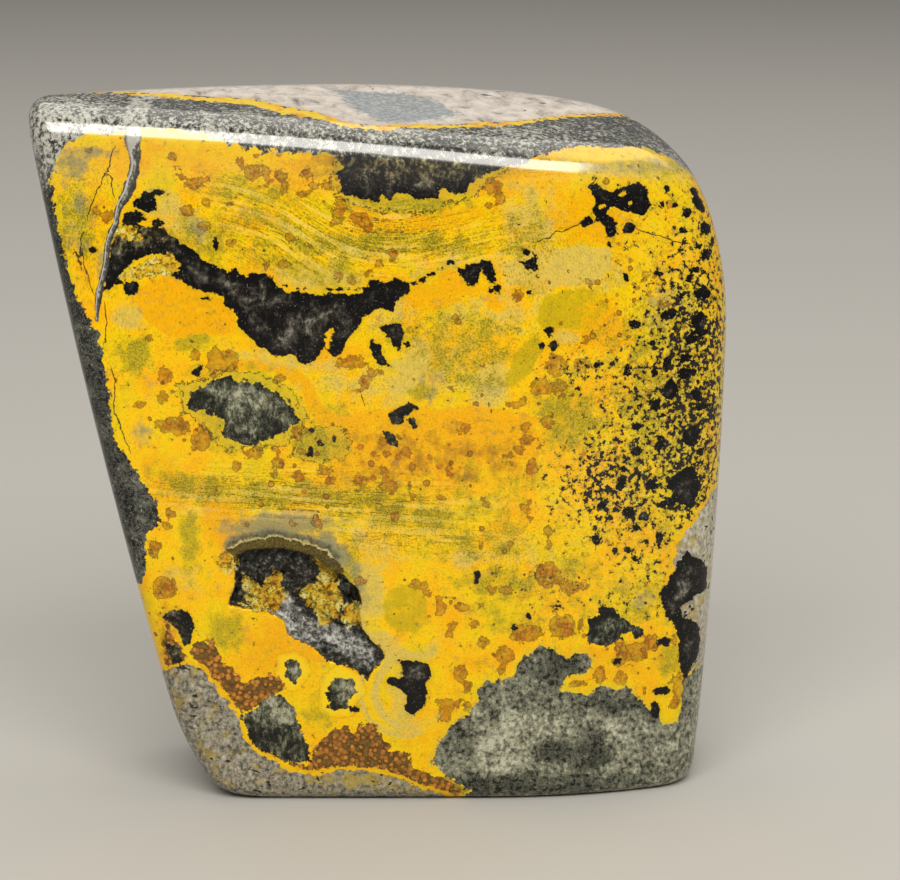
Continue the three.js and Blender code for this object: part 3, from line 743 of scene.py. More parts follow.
# Soft washes: colours in the yellow and other minerals, and how thick specks and layers lie. Each
# mark is its middle, half width, half height, lean in degrees and strength.
WASHES = {
    "orange": [
        (6, 56, 17, 5.5, 0, 0.9), (-15, 25, 7, 5, 20, 0.9), (-35, 87, 7, 6, 0, 0.25),
        (-34, 101, 12, 2.4, 0, 0.5), (-10, 98, 12, 3.4, 0, 0.5), (17, 97, 5, 3, 0, 0.8),
        (31, 90, 9, 6, 0, 0.75), (34, 74, 4, 4, 0, 0.9), (7, 79.5, 7, 2.6, -12, 0.8),
        (34, 22, 12, 4, 0, 0.6), (26, 35, 8, 4, 0, 0.6), (-34, 52, 3, 6, 25, 0.6),
        (-33, 30, 3, 9, 0, 0.4), (12, 17, 4, 6, 0, 0.4), (28, 58, 8, 6, 0, 0.35),
        (-25, 45, 2.6, 6, 15, 0.9), (-43, 92, 2.5, 6, 0, 0.6), (-20, 91, 6, 2, 0, 0.7),
        (8, 91, 12, 1.6, 8, 0.7), (30, 75, 6, 3, 0, 0.7), (-37, 72, 1.5, 8, 0, 0.4),
        (16, 75, 7, 2, 0, 0.4), (38, 44, 5, 4, 0, 0.5), (44.3, 36, 1.5, 4, 0, 0.8),
        (5, 12, 2.5, 7, 0, 0.5),
    ],
    "olive": [
        (-37.3, 70.5, 2.4, 2.6, -20, 1), (-28.2, 72.6, 3.2, 1.2, 15, 1), (-46, 90, 3, 7, 0, 0.7),
        (6.5, 45, 7, 2.6, 0, 0.7), (-28, 50, 7, 2.4, -10, 0.7), (-29.5, 41.5, 1.6, 5, 0, 0.8),
        (28.5, 61, 4.5, 6, 20, 0.8), (6.2, 64.8, 2.4, 1.2, 0, 1), (-27, 88, 5, 4, -40, 0.6),
        (-20, 95, 9, 2.4, -8, 0.5), (0, 87.5, 17, 2, 0, 0.75), (-17, 91, 6, 1.6, -25, 0.6),
        (40, 31, 10, 5, 0, 0.5), (-14, 49, 15, 2, -3, 0.75), (-9, 56.8, 4.6, 2.2, 0, 1),
        (-22, 62, 9, 6, 0, 0.55), (19, 31.5, 7, 3, 0, 0.45), (-6, 38, 3, 4, 0, 0.7),
        (22, 89, 5, 4, 30, 0.5), (43, 62, 8, 18, 0, 0.6), (0, 47, 6, 3, 0, 0.8),
        (18, 35, 6, 3, 0, 0.7), (3, 93.4, 9, 1.3, 0, 0.8), (-42, 66, 3, 6, 0, 0.35),
        (14, 42, 9, 4, 0, 0.5), (-8, 61, 3, 3, 0, 0.35), (5, 74, 5, 2.4, 0, 0.6),
        (14, 70, 8, 3, 0, 0.5), (-11, 83.5, 9, 2.4, -4, 0.6), (43, 98, 4, 3, 0, 0.6),
        (25, 99.5, 9, 1.2, 0, 0.4), (-20, 79, 4, 1, 0, 0.3), (-24, 27.5, 2.6, 3, 0, 0.9),
        (-10, 14.5, 2, 3, 0, 0.7), (17, 50, 9, 3, 0, 0.4), (30, 36, 4, 3, 0, 0.5),
        (-2, 3.6, 9, 1.4, -4, 1), (45, 21, 2.5, 3, 0, 0.6), (20, 28, 6, 1.4, -10, 0.6),
    ],
    "pale": [
        (-38.8, 76.3, 2.4, 1.9, 0, 0.8), (4.5, 68, 2.6, 5.4, -38, 1), (16.5, 65.5, 2.8, 4, 0, 1),
        (24, 83.5, 6, 3.4, 0, 0.9), (31, 82.5, 6, 2.4, 0, 0.7), (28.5, 73, 1.8, 1.2, 0, 0.9),
        (12.5, 38.8, 2.2, 1.8, 0, 0.8), (-9.5, 82.4, 7.5, 1.8, 0, 0.7), (-3, 86, 9, 1.4, 0, 0.4),
        (-31.5, 92, 6, 2.4, -38, 0.7), (23, 91, 4, 5, 30, 0.7), (18, 76.5, 7, 3.4, 0, 0.6),
        (1.5, 77, 3, 3, 0, 0.6), (22, 39, 6, 2, 0, 0.4), (10, 67, 7, 3, 0, 0.6),
        (-32, 82, 4, 1.4, 0, 0.3), (-3, 66, 8, 2.4, 0, 0.6), (3, 16.5, 2, 5, 0, 0.7),
        (-13, 69.6, 9, 1.2, -8, 0.6), (-3, 56, 2, 1, 0, 0.3), (-31, 35.5, 3, 2.6, 0, 0.5),
        (-11, 27.5, 2.4, 2.6, 0, 0.3), (-1.5, 41, 5, 2, -25, 0.7), (-2.4, 34, 2.6, 5, 15, 1),
        (0.5, 25, 4, 1.8, -35, 1), (9, 84, 5, 2, 20, 0.5), (36, 98, 13, 1.2, -6, 0.8),
    ],
    "grey": [
        (-46.6, 99.3, 2.2, 2.4, 35, 0.9), (-43.5, 101.2, 3, 0.9, 0, 0.7),
        (-36.7, 58.4, 2, 1.9, 0, 0.55), (-15.5, 44.4, 7.5, 1.9, 3, 1), (-7.2, 40, 1.6, 4, 35, 0.9),
        (-3.4, 35, 1.4, 4, 20, 0.5), (-46, 91, 2.5, 6, 0, 0.45), (38, 98.2, 12, 1.1, -6, 0.5),
        (16.3, 66.4, 2, 2.6, 0, 0.35), (43.5, 76.5, 4, 3, 0, 0.5), (7.6, 66, 2, 2.5, -30, 0.45),
        (-35, 65, 1.4, 2, 0, 0.4), (-28, 90.3, 3, 1.4, -35, 0.6), (40.5, 31.4, 2, 1.4, 0, 0.6),
        (-41.5, 84, 1.2, 4, 0, 0.6),
    ],
    "leaf": [(32, 77.5, 4, 2, 0, 0.3)],
    "brown": [
        (8, 55, 16, 5, 0, 0.42), (6, 100, 14, 2.6, 0, 1), (-37.5, 88.4, 4.4, 1.8, 0, 0.9),
        (-33, 27, 2, 5, 0, 0.5),
    ],
    "heart": [  # the paler hearts of the ash
        (-22, 65, 6, 1.2, -14, 0.75), (-16.5, 62.2, 3, 0.8, -30, 0.7),
        (-15.8, 14.7, 3.6, 2.4, -25, 1.3), (-13, 10, 1.8, 3, 0, 0.8), (-5.8, 18.2, 2, 2, 0, 1.3),
        (-13.6, 21.8, 0.8, 0.7, 0, 0.9), (37, 28, 3, 1, 0, 0.4), (48.6, 22.5, 1.4, 3, 0, 0.5),
    ],
    "white_fibres_and_sheen": [  # white fibres in the dark rock, and along the rim a painted sheen
        (-48, 104, 8, 5, 0, 1), (-30, 104, 14, 2, 0, 0.8), (0, 104, 12, 1.6, 0, 0.5),
        (-50, 98, 2, 3, 0, 0.4), (24, 104, 12, 2, 0, 0.8), (45, 97, 8, 3, 0, 0.6),
        (-36, 42, 3, 5, 0, 0.3), (52, 34, 3, 12, 0, 1), (50, 42, 3, 4, 0, 0.8),
    ],
    "tuff_dark": [
        (32.6, 7.5, 2.8, 3.6, 0, 1), (27, 8, 2.8, 2.2, 0, 0.9), (26, 21, 3, 2.4, 0, 0.4),
        (27, 21.5, 4.5, 2.4, 0, 0.6), (12, 10, 2, 4, 0, 0.3), (38, 14.5, 6, 1.4, -8, 0.6),
        (26, 2.6, 15, 1.8, 0, 0.8), (44, 4, 6, 2, 0, 0.3), (20, 15, 4, 2, 0, 0.3),
    ],
    "black_specks": [
        (48, 62, 8, 26, 0, 1), (36, 50, 9, 8, 0, 0.95), (41, 62, 8, 12, 0, 0.7),
        (44, 88, 8, 6, 0, 0.4), (40, 36, 7, 7, 0, 0.5), (27, 34, 6, 4, 0, 0.4),
        (31, 68, 6, 2.4, 0, 0.6),
    ],
    "rust_specks": [
        (42, 62, 12, 26, 0, 1), (4, 54, 13, 5, 0, 0.5), (26, 46, 8, 10, 0, 0.4),
        (-12, 96, 8, 3, 0, 0.5), (-31, 62, 6, 8, 0, 0.5), (16, 30, 12, 6, 0, 0.45),
        (38, 24, 12, 7, 0, 0.9), (-18, 50, 12, 4, 0, 0.3), (18, 60, 10, 6, 0, 0.25),
        (-34, 32, 3, 8, 0, 0.6), (33, 68, 6, 7, 0, 0.8),
    ],
    "banded": [
        (-3, 88.5, 20, 5, 0, 1), (-20, 93, 6, 4, -40, 0.8), (-10, 48.5, 21, 4, -3, 1),
        (4, 42.5, 14, 2.4, -4, 0.7), (26, 99, 8, 2, 0, 0.4),
    ],
    "olive_specks": [
        (-45, 92, 4, 9, 0, 0.9), (0, 88, 20, 3, 0, 1), (-24, 91, 8, 5, 0, 0.7),
        (-28, 49.5, 8, 3, 0, 0.8), (2, 43.5, 14, 3.4, 0, 0.8), (6, 75, 9, 4, 0, 0.8),
        (22, 87, 7, 7, 0, 0.9), (30, 62, 8, 8, 0, 0.6), (18, 73, 8, 4, 0, 0.9),
        (34, 83, 10, 5, 0, 0.6), (20, 40, 12, 6, 0, 0.7), (40, 62, 11, 24, 0, 0.8),
        (-12, 49, 18, 3, -3, 1), (-14, 94, 14, 5, 0, 0.6), (-37, 71, 4, 4, 0, 0.8),
        (-9, 57, 5, 3, 0, 0.8), (8, 54, 15, 6, 0, 0.5), (14, 66, 8, 4, 0, 0.6),
        (-2, 66, 8, 4, 0, 0.5),
    ],
}
BACK_WASHES = {
    "orange": [(-20, 50, 16, 9, 10, 0.9), (16, 66, 18, 8, 0, 0.7), (24, 34, 10, 6, 0, 0.8)],
    "olive": [(-6, 62, 22, 6, 8, 0.6), (30, 56, 10, 12, 0, 0.6), (4, 26, 16, 6, 0, 0.5)],
    "pale": [(0, 34, 12, 6, 20, 0.7), (34, 74, 10, 6, 0, 0.6), (-30, 62, 6, 9, 0, 0.5)],
    "grey": [(-14, 58, 8, 2.4, -10, 0.7), (14, 46, 6, 3, 0, 0.6)],
    "leaf": [(-8, 78, 10, 4, 10, 0.7)],
    "brown": [(-8, 50, 10, 2, 0, 0.7)],
    "heart": [(-6, 21, 5, 2, 10, 1)],
    "white_fibres_and_sheen": [(-20, 100, 20, 5, 0, 0.8), (30, 96, 14, 4, 0, 0.8)],
    "tuff_dark": [(34, 10, 8, 4, 0, 0.9), (46, 20, 6, 4, 0, 0.7)],
    "black_specks": [(40, 52, 12, 24, 0, 0.9), (-30, 38, 8, 8, 0, 0.4)],
    "rust_specks": [(36, 52, 14, 26, 0, 0.8), (-12, 30, 18, 9, 0, 0.8), (-24, 60, 10, 10, 0, 0.6)],
    "banded": [(0, 66, 26, 9, 8, 1), (0, 36, 26, 9, -6, 0.8)],
    "olive_specks": [(0, 60, 26, 8, 0, 0.8), (10, 40, 20, 8, 0, 0.6)],
}
# Zones of the same colours on the broad face that end at a clean side. Some of them fade away
# towards their other side.
ORANGE_FIELD = [
    (-37, 80.5), (-36.8, 77.2), (-34.8, 75), (-32.5, 73.5), (-30, 73.2), (-27.5, 74),
    (-24, 73.5), (-22, 75.5), (-22.3, 77.3), (-24, 79), (-27, 80.5), (-30, 82.5), (-34, 82.2),
]
ORANGE_MIDDLE = [
    (-8.5, 60.5), (-5, 61.4), (0, 62.3), (7, 62), (13, 62.6), (19, 62), (24, 61), (24, 44),
    (-6, 44), (-8, 55),
]
ORANGE_RIM = [  # the bright skin over the ash lens
    (-27, 68), (-22, 69.5), (-17, 70), (-13, 68.8), (-10.5, 66.2), (-9, 62.8), (-6.5, 61),
    (-8.5, 59.4), (-11, 61.5), (-12.3, 65), (-15, 67.5), (-19, 68.3), (-24, 67.8),
]
EYE = [  # a round gold spot right of the hollow
    (0, 32), (1, 34), (3.4, 35), (6, 34.6), (7.2, 32), (7, 28.6), (5, 27.2), (2, 27.4),
    (0.3, 29.4),
]
LEAVES = [  # two leaf shapes below the upper right mass
    [(23.5, 75.8), (24.9, 79.3), (28, 80.2), (31, 80.3), (34, 79.8), (36, 78), (31.9, 73.7),
     (27.6, 74.3), (24.7, 74.4)],
    [(19.1, 65.7), (19, 66.8), (19.35, 68.05), (20.8, 71.2), (22.4, 72.7), (24.6, 73.4),
     (24.7, 71.5), (22.8, 67.6), (20.6, 65.7)],
]
CAP = [  # a smooth arch under the black mass
    (5.6, 77.6), (6, 79.5), (8.5, 82.2), (10, 84), (12.4, 82.6), (15, 81.6), (17.6, 79.6),
    (18.6, 77.4), (17.2, 77.2), (15, 79), (12, 79.8), (9, 79.2), (7.6, 77.4),
]
PALE_BLOCK = [  # cream between the upper leaf and the mass
    (25.2, 80.6), (25.4, 83.8), (26.2, 86.3), (30, 86.8), (35, 86.2), (35.5, 83), (33, 81.4),
    (29, 80.8),
]
KHAKI = [  # dusty, between the arch and the leaf shapes
    (6, 74), (9, 77), (15, 77.5), (21, 76), (22, 74), (19, 71.5), (18, 66.5), (15, 63.8),
    (9, 65), (5.5, 69),
]
KHAKI_EDGE = 3  # how softly it ends
CREAM_RINGS = [  # middle, radius, half width, and where round from +X it is strongest
    (3.5, 31, 7.3, 1.2, 215), (4.2, 17.6, 5.2, 0.7, 200), (3.4, 18.2, 6.9, 0.4, 220),
]
WASH_MIDDLE, WASH_FADE = 1.45, 0.9  # full strength half way out, gone at 1.6 times its size
WASH_DEPTHS = (13.5, 4.5)  # how deep a wash has gone, and how deep it is still full
CLEAN_EDGE = 0.35


def wash(marks, depth):
    """How strong a soft colour is at each point, from 0 to 1."""
    strongest = np.zeros(len(X))
    for x, z, wide, high, lean, strength in marks:
        cos, sin = np.cos(np.radians(lean)), np.sin(np.radians(lean))
        along, over = (X - x) * cos + (Z - z) * sin, (Z - z) * cos - (X - x) * sin
        out = np.hypot(along / wide, over / high)
        faded = np.clip(WASH_MIDDLE - WASH_FADE * out, 0, 1)
        strongest = np.maximum(strongest, faded * strength)
    return strongest * rising(depth, *WASH_DEPTHS)


def zone(outline, strength, soft=CLEAN_EDGE):
    """A colour of one strength inside an outline on the broad face."""
    within = rising(to_outline(X, Z, outline), soft / 2, -soft / 2)
    return within * strength * rising(front_depth, *WASH_DEPTHS)


washes = {}
for name, marks in WASHES.items():
    washes[name] = np.maximum(wash(marks, front_depth), wash(BACK_WASHES[name], back_depth))
clean = (
    ("orange", zone(ORANGE_FIELD, 1)),
    ("orange", zone(ORANGE_MIDDLE, 0.9) * rising(Z, 46, 55)),
    ("orange", zone(ORANGE_RIM, 0.95)),
    ("leaf", zone(EYE, 0.75)),
    ("leaf", zone(LEAVES[0], 1) * rising(X, 37, 28)),
    ("leaf", zone(LEAVES[1], 1) * np.clip((74 - Z) / 3 + (27 - X) / 12, 0, 1)),
    ("orange", zone(CAP, 0.8)),
)
for name, strength in clean:
    washes[name] = np.maximum(washes[name], strength)
for others in ("olive", "pale", "grey"):
    washes[others] *= 1 - zone(ORANGE_FIELD, 0.9)
    washes[others] *= 1 - zone(ORANGE_MIDDLE, 0.7) * rising(Z, 50, 56)
for name, most in (("pale", 0.4), ("olive", 0.55), ("olive_specks", 0.8)):
    washes[name] = np.maximum(washes[name], zone(KHAKI, most, KHAKI_EDGE))
washes["orange"] *= 1 - zone(KHAKI, 0.9, KHAKI_EDGE)
washes["pale"] = np.maximum(washes["pale"], zone(PALE_BLOCK, 1))
for name in ("orange", "olive", "olive_specks"):
    washes[name] *= 1 - zone(PALE_BLOCK, 0.8)
for name in ("pale", "olive", "olive_specks"):
    washes[name] *= 1 - zone(CAP, 0.8)
for x, z, radius, half, opens in CREAM_RINGS:
    ring_x, ring_z = X - x, (Z - z) * 0.93
    faced = np.cos(np.arctan2(ring_z, ring_x) - np.radians(opens))
    ring = np.exp(-(((np.hypot(ring_x, ring_z) - radius) / half) ** 2))
    ring *= np.clip(0.7 + 1.2 * faced, 0, 1.3) * (front_depth < FACE_SKIN)
    washes["pale"] = np.maximum(washes["pale"], ring)
fewer_fibres_and_sheen = np.where(Z > 30, 0.8, 0.45)  # in the rock down the left side, and at its foot
washes["white_fibres_and_sheen"] -= fewer_fibres_and_sheen * rising(top_rock - left_rock, 0, 4)
washes["white_fibres_and_sheen"] += vein_fibres
for name, strength in washes.items():
    keep(name, strength)

# The layers of the yellow sag under the top mass and run nearly level below it, so streaks are
# laid along this height instead of Z. In one small oval of cream they run steeply.
SAG, SAG_MORE = 5.5, 3.5  # how far the layers rise beside the mass, and how much more on its left
SAG_MIDDLE, SAG_WIDTH = 1, 15
SAG_HEIGHTS = (74, 88)  # Z: level below, sagging in full above
SLOPE, DIP = 0.06, 0.35  # how much the layers drop for each mm to the right, and inwards
STEEP_OVAL = (4.5, 68, 3.4, 5)
sag = SAG + SAG_MORE * rising(X, SAG_MIDDLE, SAG_MIDDLE - SAG_WIDTH)
sag *= 1 - np.exp(-((X - SAG_MIDDLE) / SAG_WIDTH) ** 2)
bedding = Z - sag * rising(Z, *SAG_HEIGHTS) + SLOPE * X + DIP * Y
steep = (to_spot(X, Z, STEEP_OVAL) < 0) & (front_depth < FACE_SKIN)
keep("bedding", np.where(steep, (0.64 * Z - 0.77 * X) * 1.6, bedding))

# Inside the hollow: gold crystals and a silvery ridge. Over it: a lip banded along one line. Gold
# crystals stand in a spray on the black band too.
keep("hollow", to_hollow)
HOLLOW_GOLD = [
    [(-21.4, 36.3), (-19.5, 34.8), (-18.6, 34), (-17.1, 36.7), (-15.9, 36.9), (-14.8, 33.4),
     (-15.9, 30.6), (-19.5, 30.6), (-21.7, 31.5), (-21.2, 32.9)],
    [(-10.3, 39.2), (-8.6, 37.5), (-7.3, 36.9), (-6.6, 33.3), (-5.8, 31.5), (-7.7, 28.3),
     (-9.6, 28.1), (-11.1, 31), (-12.6, 32.9), (-12.8, 34), (-10.7, 34.8), (-9.6, 36.7)],
    [(-6.6, 31.5), (-2.9, 31.5), (-3, 28), (-6, 28)],
]
keep("gold", body(HOLLOW_GOLD, [(-24, 38.3, 1.6, 1.7)], reach=8))
SILVER_RIDGE = [(-16, 32), (-14, 28.6), (-11, 27.4), (-8.5, 26.6), (-5, 25.2), (-2.5, 23.5)]
_, silver = along_line(SILVER_RIDGE)
keep("silver", silver)
RIM_LINE = [  # a cream line over the hollow, dark olive below it and grey above
    (-22.8, 40.9), (-21.5, 41.7), (-19.3, 42.1), (-16.1, 42.6), (-14.4, 42.1), (-11.1, 41.4),
    (-8.6, 40.3), (-7.6, 39.3),
]
across, nearest = along_line(RIM_LINE)
keep("rim_line", np.clip(across, -FAR, FAR))
nearest = np.where(across < 0, 0.45 * nearest, nearest) + FAR * (front_depth > FACE_SKIN)
keep("rim_near", np.minimum(nearest, FAR))
CRYSTAL_SPRAY = [
    (-40, 82.2), (-38, 83.6), (-34.8, 85.2), (-31.5, 86.1), (-30.4, 84.2), (-30.8, 83.4),
    (-32.3, 82.7), (-36.8, 82.1), (-38.4, 81.8),
]
keep("spray", body([CRYSTAL_SPRAY], [(-38.4, 88.9, 2, 1.1), (-24, 38.4, 1.3, 1.6)], reach=4))

# ---- The finish ---------------------------------------------------------------------------------
# Bumblebee jasper is a fibrous calcite full of volcanic ash, coloured by arsenic sulphides and iron
# oxide. Ground to a high polish it looks wet, with soft-edged lights over an opaque colour.
GRAIN = 0.28  # the sugary grain of the yellow, drawn a little coarser than it is
WANDER, FRAY = 1.3, 0.42  # the large and the small raggedness of every edge
EDGE = 0.07  # how soft an edge is
CLOUD, PATCH, LAYER = 7, 2.2, 0.85  # clouds of the yellow, patches in its washes, thin layers
SPECK, DOT, ORB = 0.85, 1.7, 0.8  # crowded black specks, a cell for each rust dot, crust orbs
MOTTLE, FIBRE, GRIT = 3, 0.7, 0.55  # clouds in the ash, crystal fibres, white grit
PIT, RIPPLE = 1.1, 9  # open pits in the matrix, and the waviness that a wheel leaves
PIT_DEPTH, RIPPLE_HEIGHT, CRYSTAL_HEIGHT = 0.12, 0.012, 0.6
CALCITE_IOR = 1.66
FACE_SHINE, HOLLOW_SHINE = 0.1, 0.34  # roughness of the polish, and of the raw crystals
FACE_GLOSS = 0.17  # so that the room doesn't veil the face's colours, as it does the rim's
FACE_TOP, RIM_FLOOR = 94, 98.5  # Z: between them the gloss goes from the face's to the rim's

polished_calcite = finish_of("polished_banded_calcite")
tree = polished_calcite.node_tree
# Patterns are laid in millimetres of the stone itself, and bounded by the kept distances.
place = add("TexCoord", {}, give="Object")
mm = add("Mapping", {"Vector": place, "Scale": (1 / MM,) * 3}, vector_type="POINT")
at = {name: add("Attribute", {}, give="Fac", attribute_name=name) for name in kept}
wander = add("TexNoise", {"Vector": mm, "Scale": 1 / WANDER, "Detail": 2, "Roughness": 0.55})
fray = add("TexNoise", {"Vector": mm, "Scale": 1 / FRAY, "Detail": 2, "Roughness": 0.55})


def total(pattern, *others):
    """A pattern with others added to it, each by its weight."""
    for other, weight in others:
        pattern = add("Math", {0: other, 1: weight, 2: pattern}, operation="MULTIPLY_ADD")
    return pattern


ragged = total(-1.55, (wander, 2.2), (fray, 0.9))


def frayed(name, raggedness):
    """A kept distance, made ragged as the bounds of a grown mineral are."""
    return total(at[name], (ragged, raggedness))


def inside(name, raggedness, edge=EDGE):
    """1 inside a mineral and 0 outside it."""
    away = frayed(name, raggedness)
    return add("MapRange", {0: away, 1: -edge, 2: edge, 3: 1, 4: 0})


def line_round(name, distance, half, raggedness):
    """1 on a thin line that runs round a mineral at a distance from its edge, 0 off it."""
    away = frayed(name, raggedness)
    return add("Math", {0: away, 1: distance, 2: half}, operation="COMPARE")


def over(layers, colour):
    """Lays colours over a colour, each with its mask and how much of it shows at most."""
    for mask, most, code in layers:
        if most != 1:
            mask = add("Math", {0: mask, 1: most}, operation="MULTIPLY")
        laid = linear(code) if isinstance(code, str) else code
        colour = add("Mix", {0: mask, 6: colour, 7: laid}, give=2, data_type="RGBA")
    return colour


# Yellow calcite: orange to lemon clouds, washes of orange, olive, cream and grey, all dusted with
# fine olive ash that gathers in the layers, and a sugary grain.
cloud = add("TexNoise", {
    "Vector": mm, "Scale": 1 / CLOUD, "Detail": 4, "Roughness": 0.62, "Distortion": 0.3})
colour = add("ValToRGB", {0: cloud}, stops=[
    (0.34, "F8B400"), (0.44, "F9C000"), (0.56, "F4CA00"), (0.7, "E2C408")])
patches = add("TexNoise", {
    "Vector": mm, "Scale": 1 / PATCH, "Detail": 4, "Roughness": 0.65}, give="Color")
patches = add("SeparateColor", {0: patches}, give=(0, 1, 2))
across, back, up = add("SeparateXYZ", {0: mm}, give=(0, 1, 2))
bed = add("CombineXYZ", {0: across, 1: at["bedding"], 2: back})
layers = add("Mapping", {"Vector": bed, "Scale": (0.07, 1, 0.07)}, vector_type="POINT")
layers = add("TexNoise", {"Vector": layers, "Scale": 1 / LAYER, "Detail": 3, "Roughness": 0.62})
dust = add("TexNoise", {"Vector": bed, "Scale": 1 / GRAIN, "Detail": 1, "Roughness": 0.7})
washed = {}
for name, patch, code, most in (
    ("orange", patches[0], "F2AC00", 0.85),
    ("pale", patches[2], "D9BD55", 0.9),
    ("olive", patches[1], "B5A31A", 0.8),
    ("leaf", patches[1], "C9AC0C", 0.9),
    ("grey", patches[0], "918D66", 0.85),
    ("brown", patches[2], "8A5A20", 0.7),
):
    patch = add("Math", {0: patch, 1: -0.5}, operation="ADD")
    strength = total(at[name], (patch, 2.2))
    washed[name] = add("MapRange", {0: strength, 1: 0.26, 2: 0.8, 3: 0, 4: most})
    colour = over(((washed[name], 1, code),), colour)
dusty = total(washed["olive"], (washed["pale"], 0.15), (at["olive_specks"], 0.7))
dusty = add("Math", {0: dusty, 1: 0.7, 2: 0.14}, operation="MULTIPLY_ADD", use_clamp=True)
banded = add("MapRange", {0: at["banded"], 1: 0, 2: 1, 3: 0.15, 4: 0.65})
layered = add("Math", {0: layers, 1: -0.5}, operation="ADD")
layered = add("Math", {0: layered, 1: banded}, operation="MULTIPLY")
thick = total(layered, (dust, 1), (patches[1], 0.3), (dusty, 0.1))
thick = add("MapRange", {0: thick, 1: 0.7, 2: 0.87, 3: 0, 4: 0.7})
dusting = add("Math", {0: thick, 1: dusty}, operation="MULTIPLY")
light_layers = add("MapRange", {0: layers, 1: 0.48, 2: 0.36, 3: 0, 4: 0.35})
light_layers = add("Math", {0: light_layers, 1: at["banded"]}, operation="MULTIPLY")
flow_line = add("Math", {0: layers, 1: 0.53, 2: 0.02}, operation="COMPARE")
dotted = add("MapRange", {0: fray, 1: 0.43, 2: 0.5, 3: 0, 4: 1})
flow_line = add("Math", {0: flow_line, 1: dotted}, operation="MULTIPLY")
flow_line = add("Math", {0: flow_line, 1: at["banded"]}, operation="MULTIPLY")
fringe = inside("contour", 1.2, 0.35)
colour = over((
    (fringe, 0.5, "BCAC2C"),
    (light_layers, 1, "EAD58C"),
    (dusting, 1, "7A701E"),
    (flow_line, 0.85, "5A521A"),
), colour)
grain = add("MapRange", {0: dust, 1: 0.3, 2: 0.7, 3: 1.07, 4: 0.9})
colour = add("HueSaturation", {"Value": grain, "Color": colour})

# Specks: rust dots, some of them hollow rings, and black ragged specks where they crowd.
crowd = add("TexNoise", {"Vector": mm, "Scale": 1 / SPECK, "Detail": 4, "Roughness": 0.62})
crowd = total(crowd, (at["black_specks"], 0.2))
black_specks = add("MapRange", {0: crowd, 1: 0.69, 2: 0.705, 3: 0, 4: 1})
near_specks = add("MapRange", {0: crowd, 1: 0.6, 2: 0.685, 3: 0, 4: 0.6})
light_grains = add("MapRange", {0: fray, 1: 0.52, 2: 0.6, 3: 0, 4: 0.6})
light_grains = add("Math", {0: light_grains, 1: at["black_specks"]}, operation="MULTIPLY")
far, cell = add("TexVoronoi", {"Vector": mm, "Scale": 1 / DOT}, give=("Distance", "Color"))
drawn, big, hollow_dot = add("SeparateColor", {0: cell}, give=(0, 1, 2))
dot = add("MapRange", {0: big, 1: 0, 2: 1, 3: 0.06, 4: 0.3})
dot = total(far, (dot, -1), (ragged, 0.16))
chosen = add("Math", {0: drawn, 1: at["rust_specks"]}, operation="LESS_THAN")
dots = add("MapRange", {0: dot, 1: -0.04, 2: 0.04, 3: 1, 4: 0})
dots = add("Math", {0: dots, 1: chosen}, operation="MULTIPLY")
dot_rims = add("Math", {0: dot, 1: 0, 2: 0.05}, operation="COMPARE")
ringed = add("Math", {0: hollow_dot, 1: 0.55}, operation="GREATER_THAN")
dot_rims = add("Math", {0: dot_rims, 1: ringed}, operation="MULTIPLY")
dot_rims = add("Math", {0: dot_rims, 1: chosen}, operation="MULTIPLY")
fine = add("TexNoise", {"Vector": mm, "Scale": 1 / FIBRE, "Detail": 4, "Roughness": 0.65})
orb_far, orb = add("TexVoronoi", {"Vector": mm, "Scale": 1 / ORB}, give=("Distance", "Color"))
orb_far = total(orb_far, (fine, 0.9))
orb_far = add("Math", {0: orb_far, 1: -0.3}, operation="ADD")
orb_kind = add("SeparateColor", {0: orb}, give=1)
rust = add("ValToRGB", {0: orb_far}, stops=[
    (0.35, "C07422"), (0.54, "B25E18"), (0.64, "924814"), (0.71, "3C260C"), (0.8, "8E661C"),
    (0.95, "BC941E")])
redder = add("MapRange", {0: fine, 1: 0.47, 2: 0.6, 3: 0, 4: 0.6})
rust = over(((redder, 1, "96501A"),), rust)
near_black = add("MapRange", {0: at["black"], 1: 0, 2: 0.7, 3: 0.4, 4: 0})
thin_rust = add("MapRange", {0: patches[2], 1: 0.4, 2: 0.58, 3: 1, 4: 0.55})
rust_bodies = add("Math", {0: inside("rust", 1, 0.12), 1: thin_rust}, operation="MULTIPLY")
colour = over((
    (dots, 0.75, rust),
    (dot_rims, 0.7, "5A3A14"),
    (near_black, 1, "C8A414"),
    (rust_bodies, 0.9, rust),
    (line_round("rust", 0.05, 0.12, 1), 0.6, "5A3C12"),
    (near_specks, 1, "8C7A1A"),
    (light_grains, 1, "E2CE5E"),
    (black_specks, 1, "262320"),
), colour)
contour_line = add("Math", {0: line_round("contour", 0, 0.2, 1.6), 1: dotted}, operation="MULTIPLY")

# Crust: rust orbs packed in brown. Ash: grey-green with a paler heart, nearly black at its edges.
crust = add("ValToRGB", {0: orb_far}, stops=[
    (0.35, "CE8A3C"), (0.54, "BE7A2A"), (0.66, "9A5C20"), (0.73, "3A2812"), (0.84, "5A401E"),
    (1.0, "745828")])
crust_dull = add("Math", {0: orb_kind, 1: 0.4}, operation="LESS_THAN")
orb_gaps = add("MapRange", {0: fine, 1: 0.4, 2: 0.5, 3: 0.9, 4: 0})
crust = over(((crust_dull, 0.5, "6B4A24"), (orb_gaps, 0.55, "422C14")), crust)
mottled = add("TexNoise", {
    "Vector": mm, "Scale": 1 / MOTTLE, "Detail": 6, "Roughness": 0.7, "Distortion": 0.5})
salt = add("Mapping", {"Vector": mm, "Rotation": (0, radians(28), 0), "Scale": (1, 1, 0.6)})
salt = add("TexNoise", {"Vector": salt, "Scale": 1 / GRIT, "Detail": 3, "Roughness": 0.85})
white_grit = add("MapRange", {0: salt, 1: 0.58, 2: 0.68, 3: 0, 4: 1})
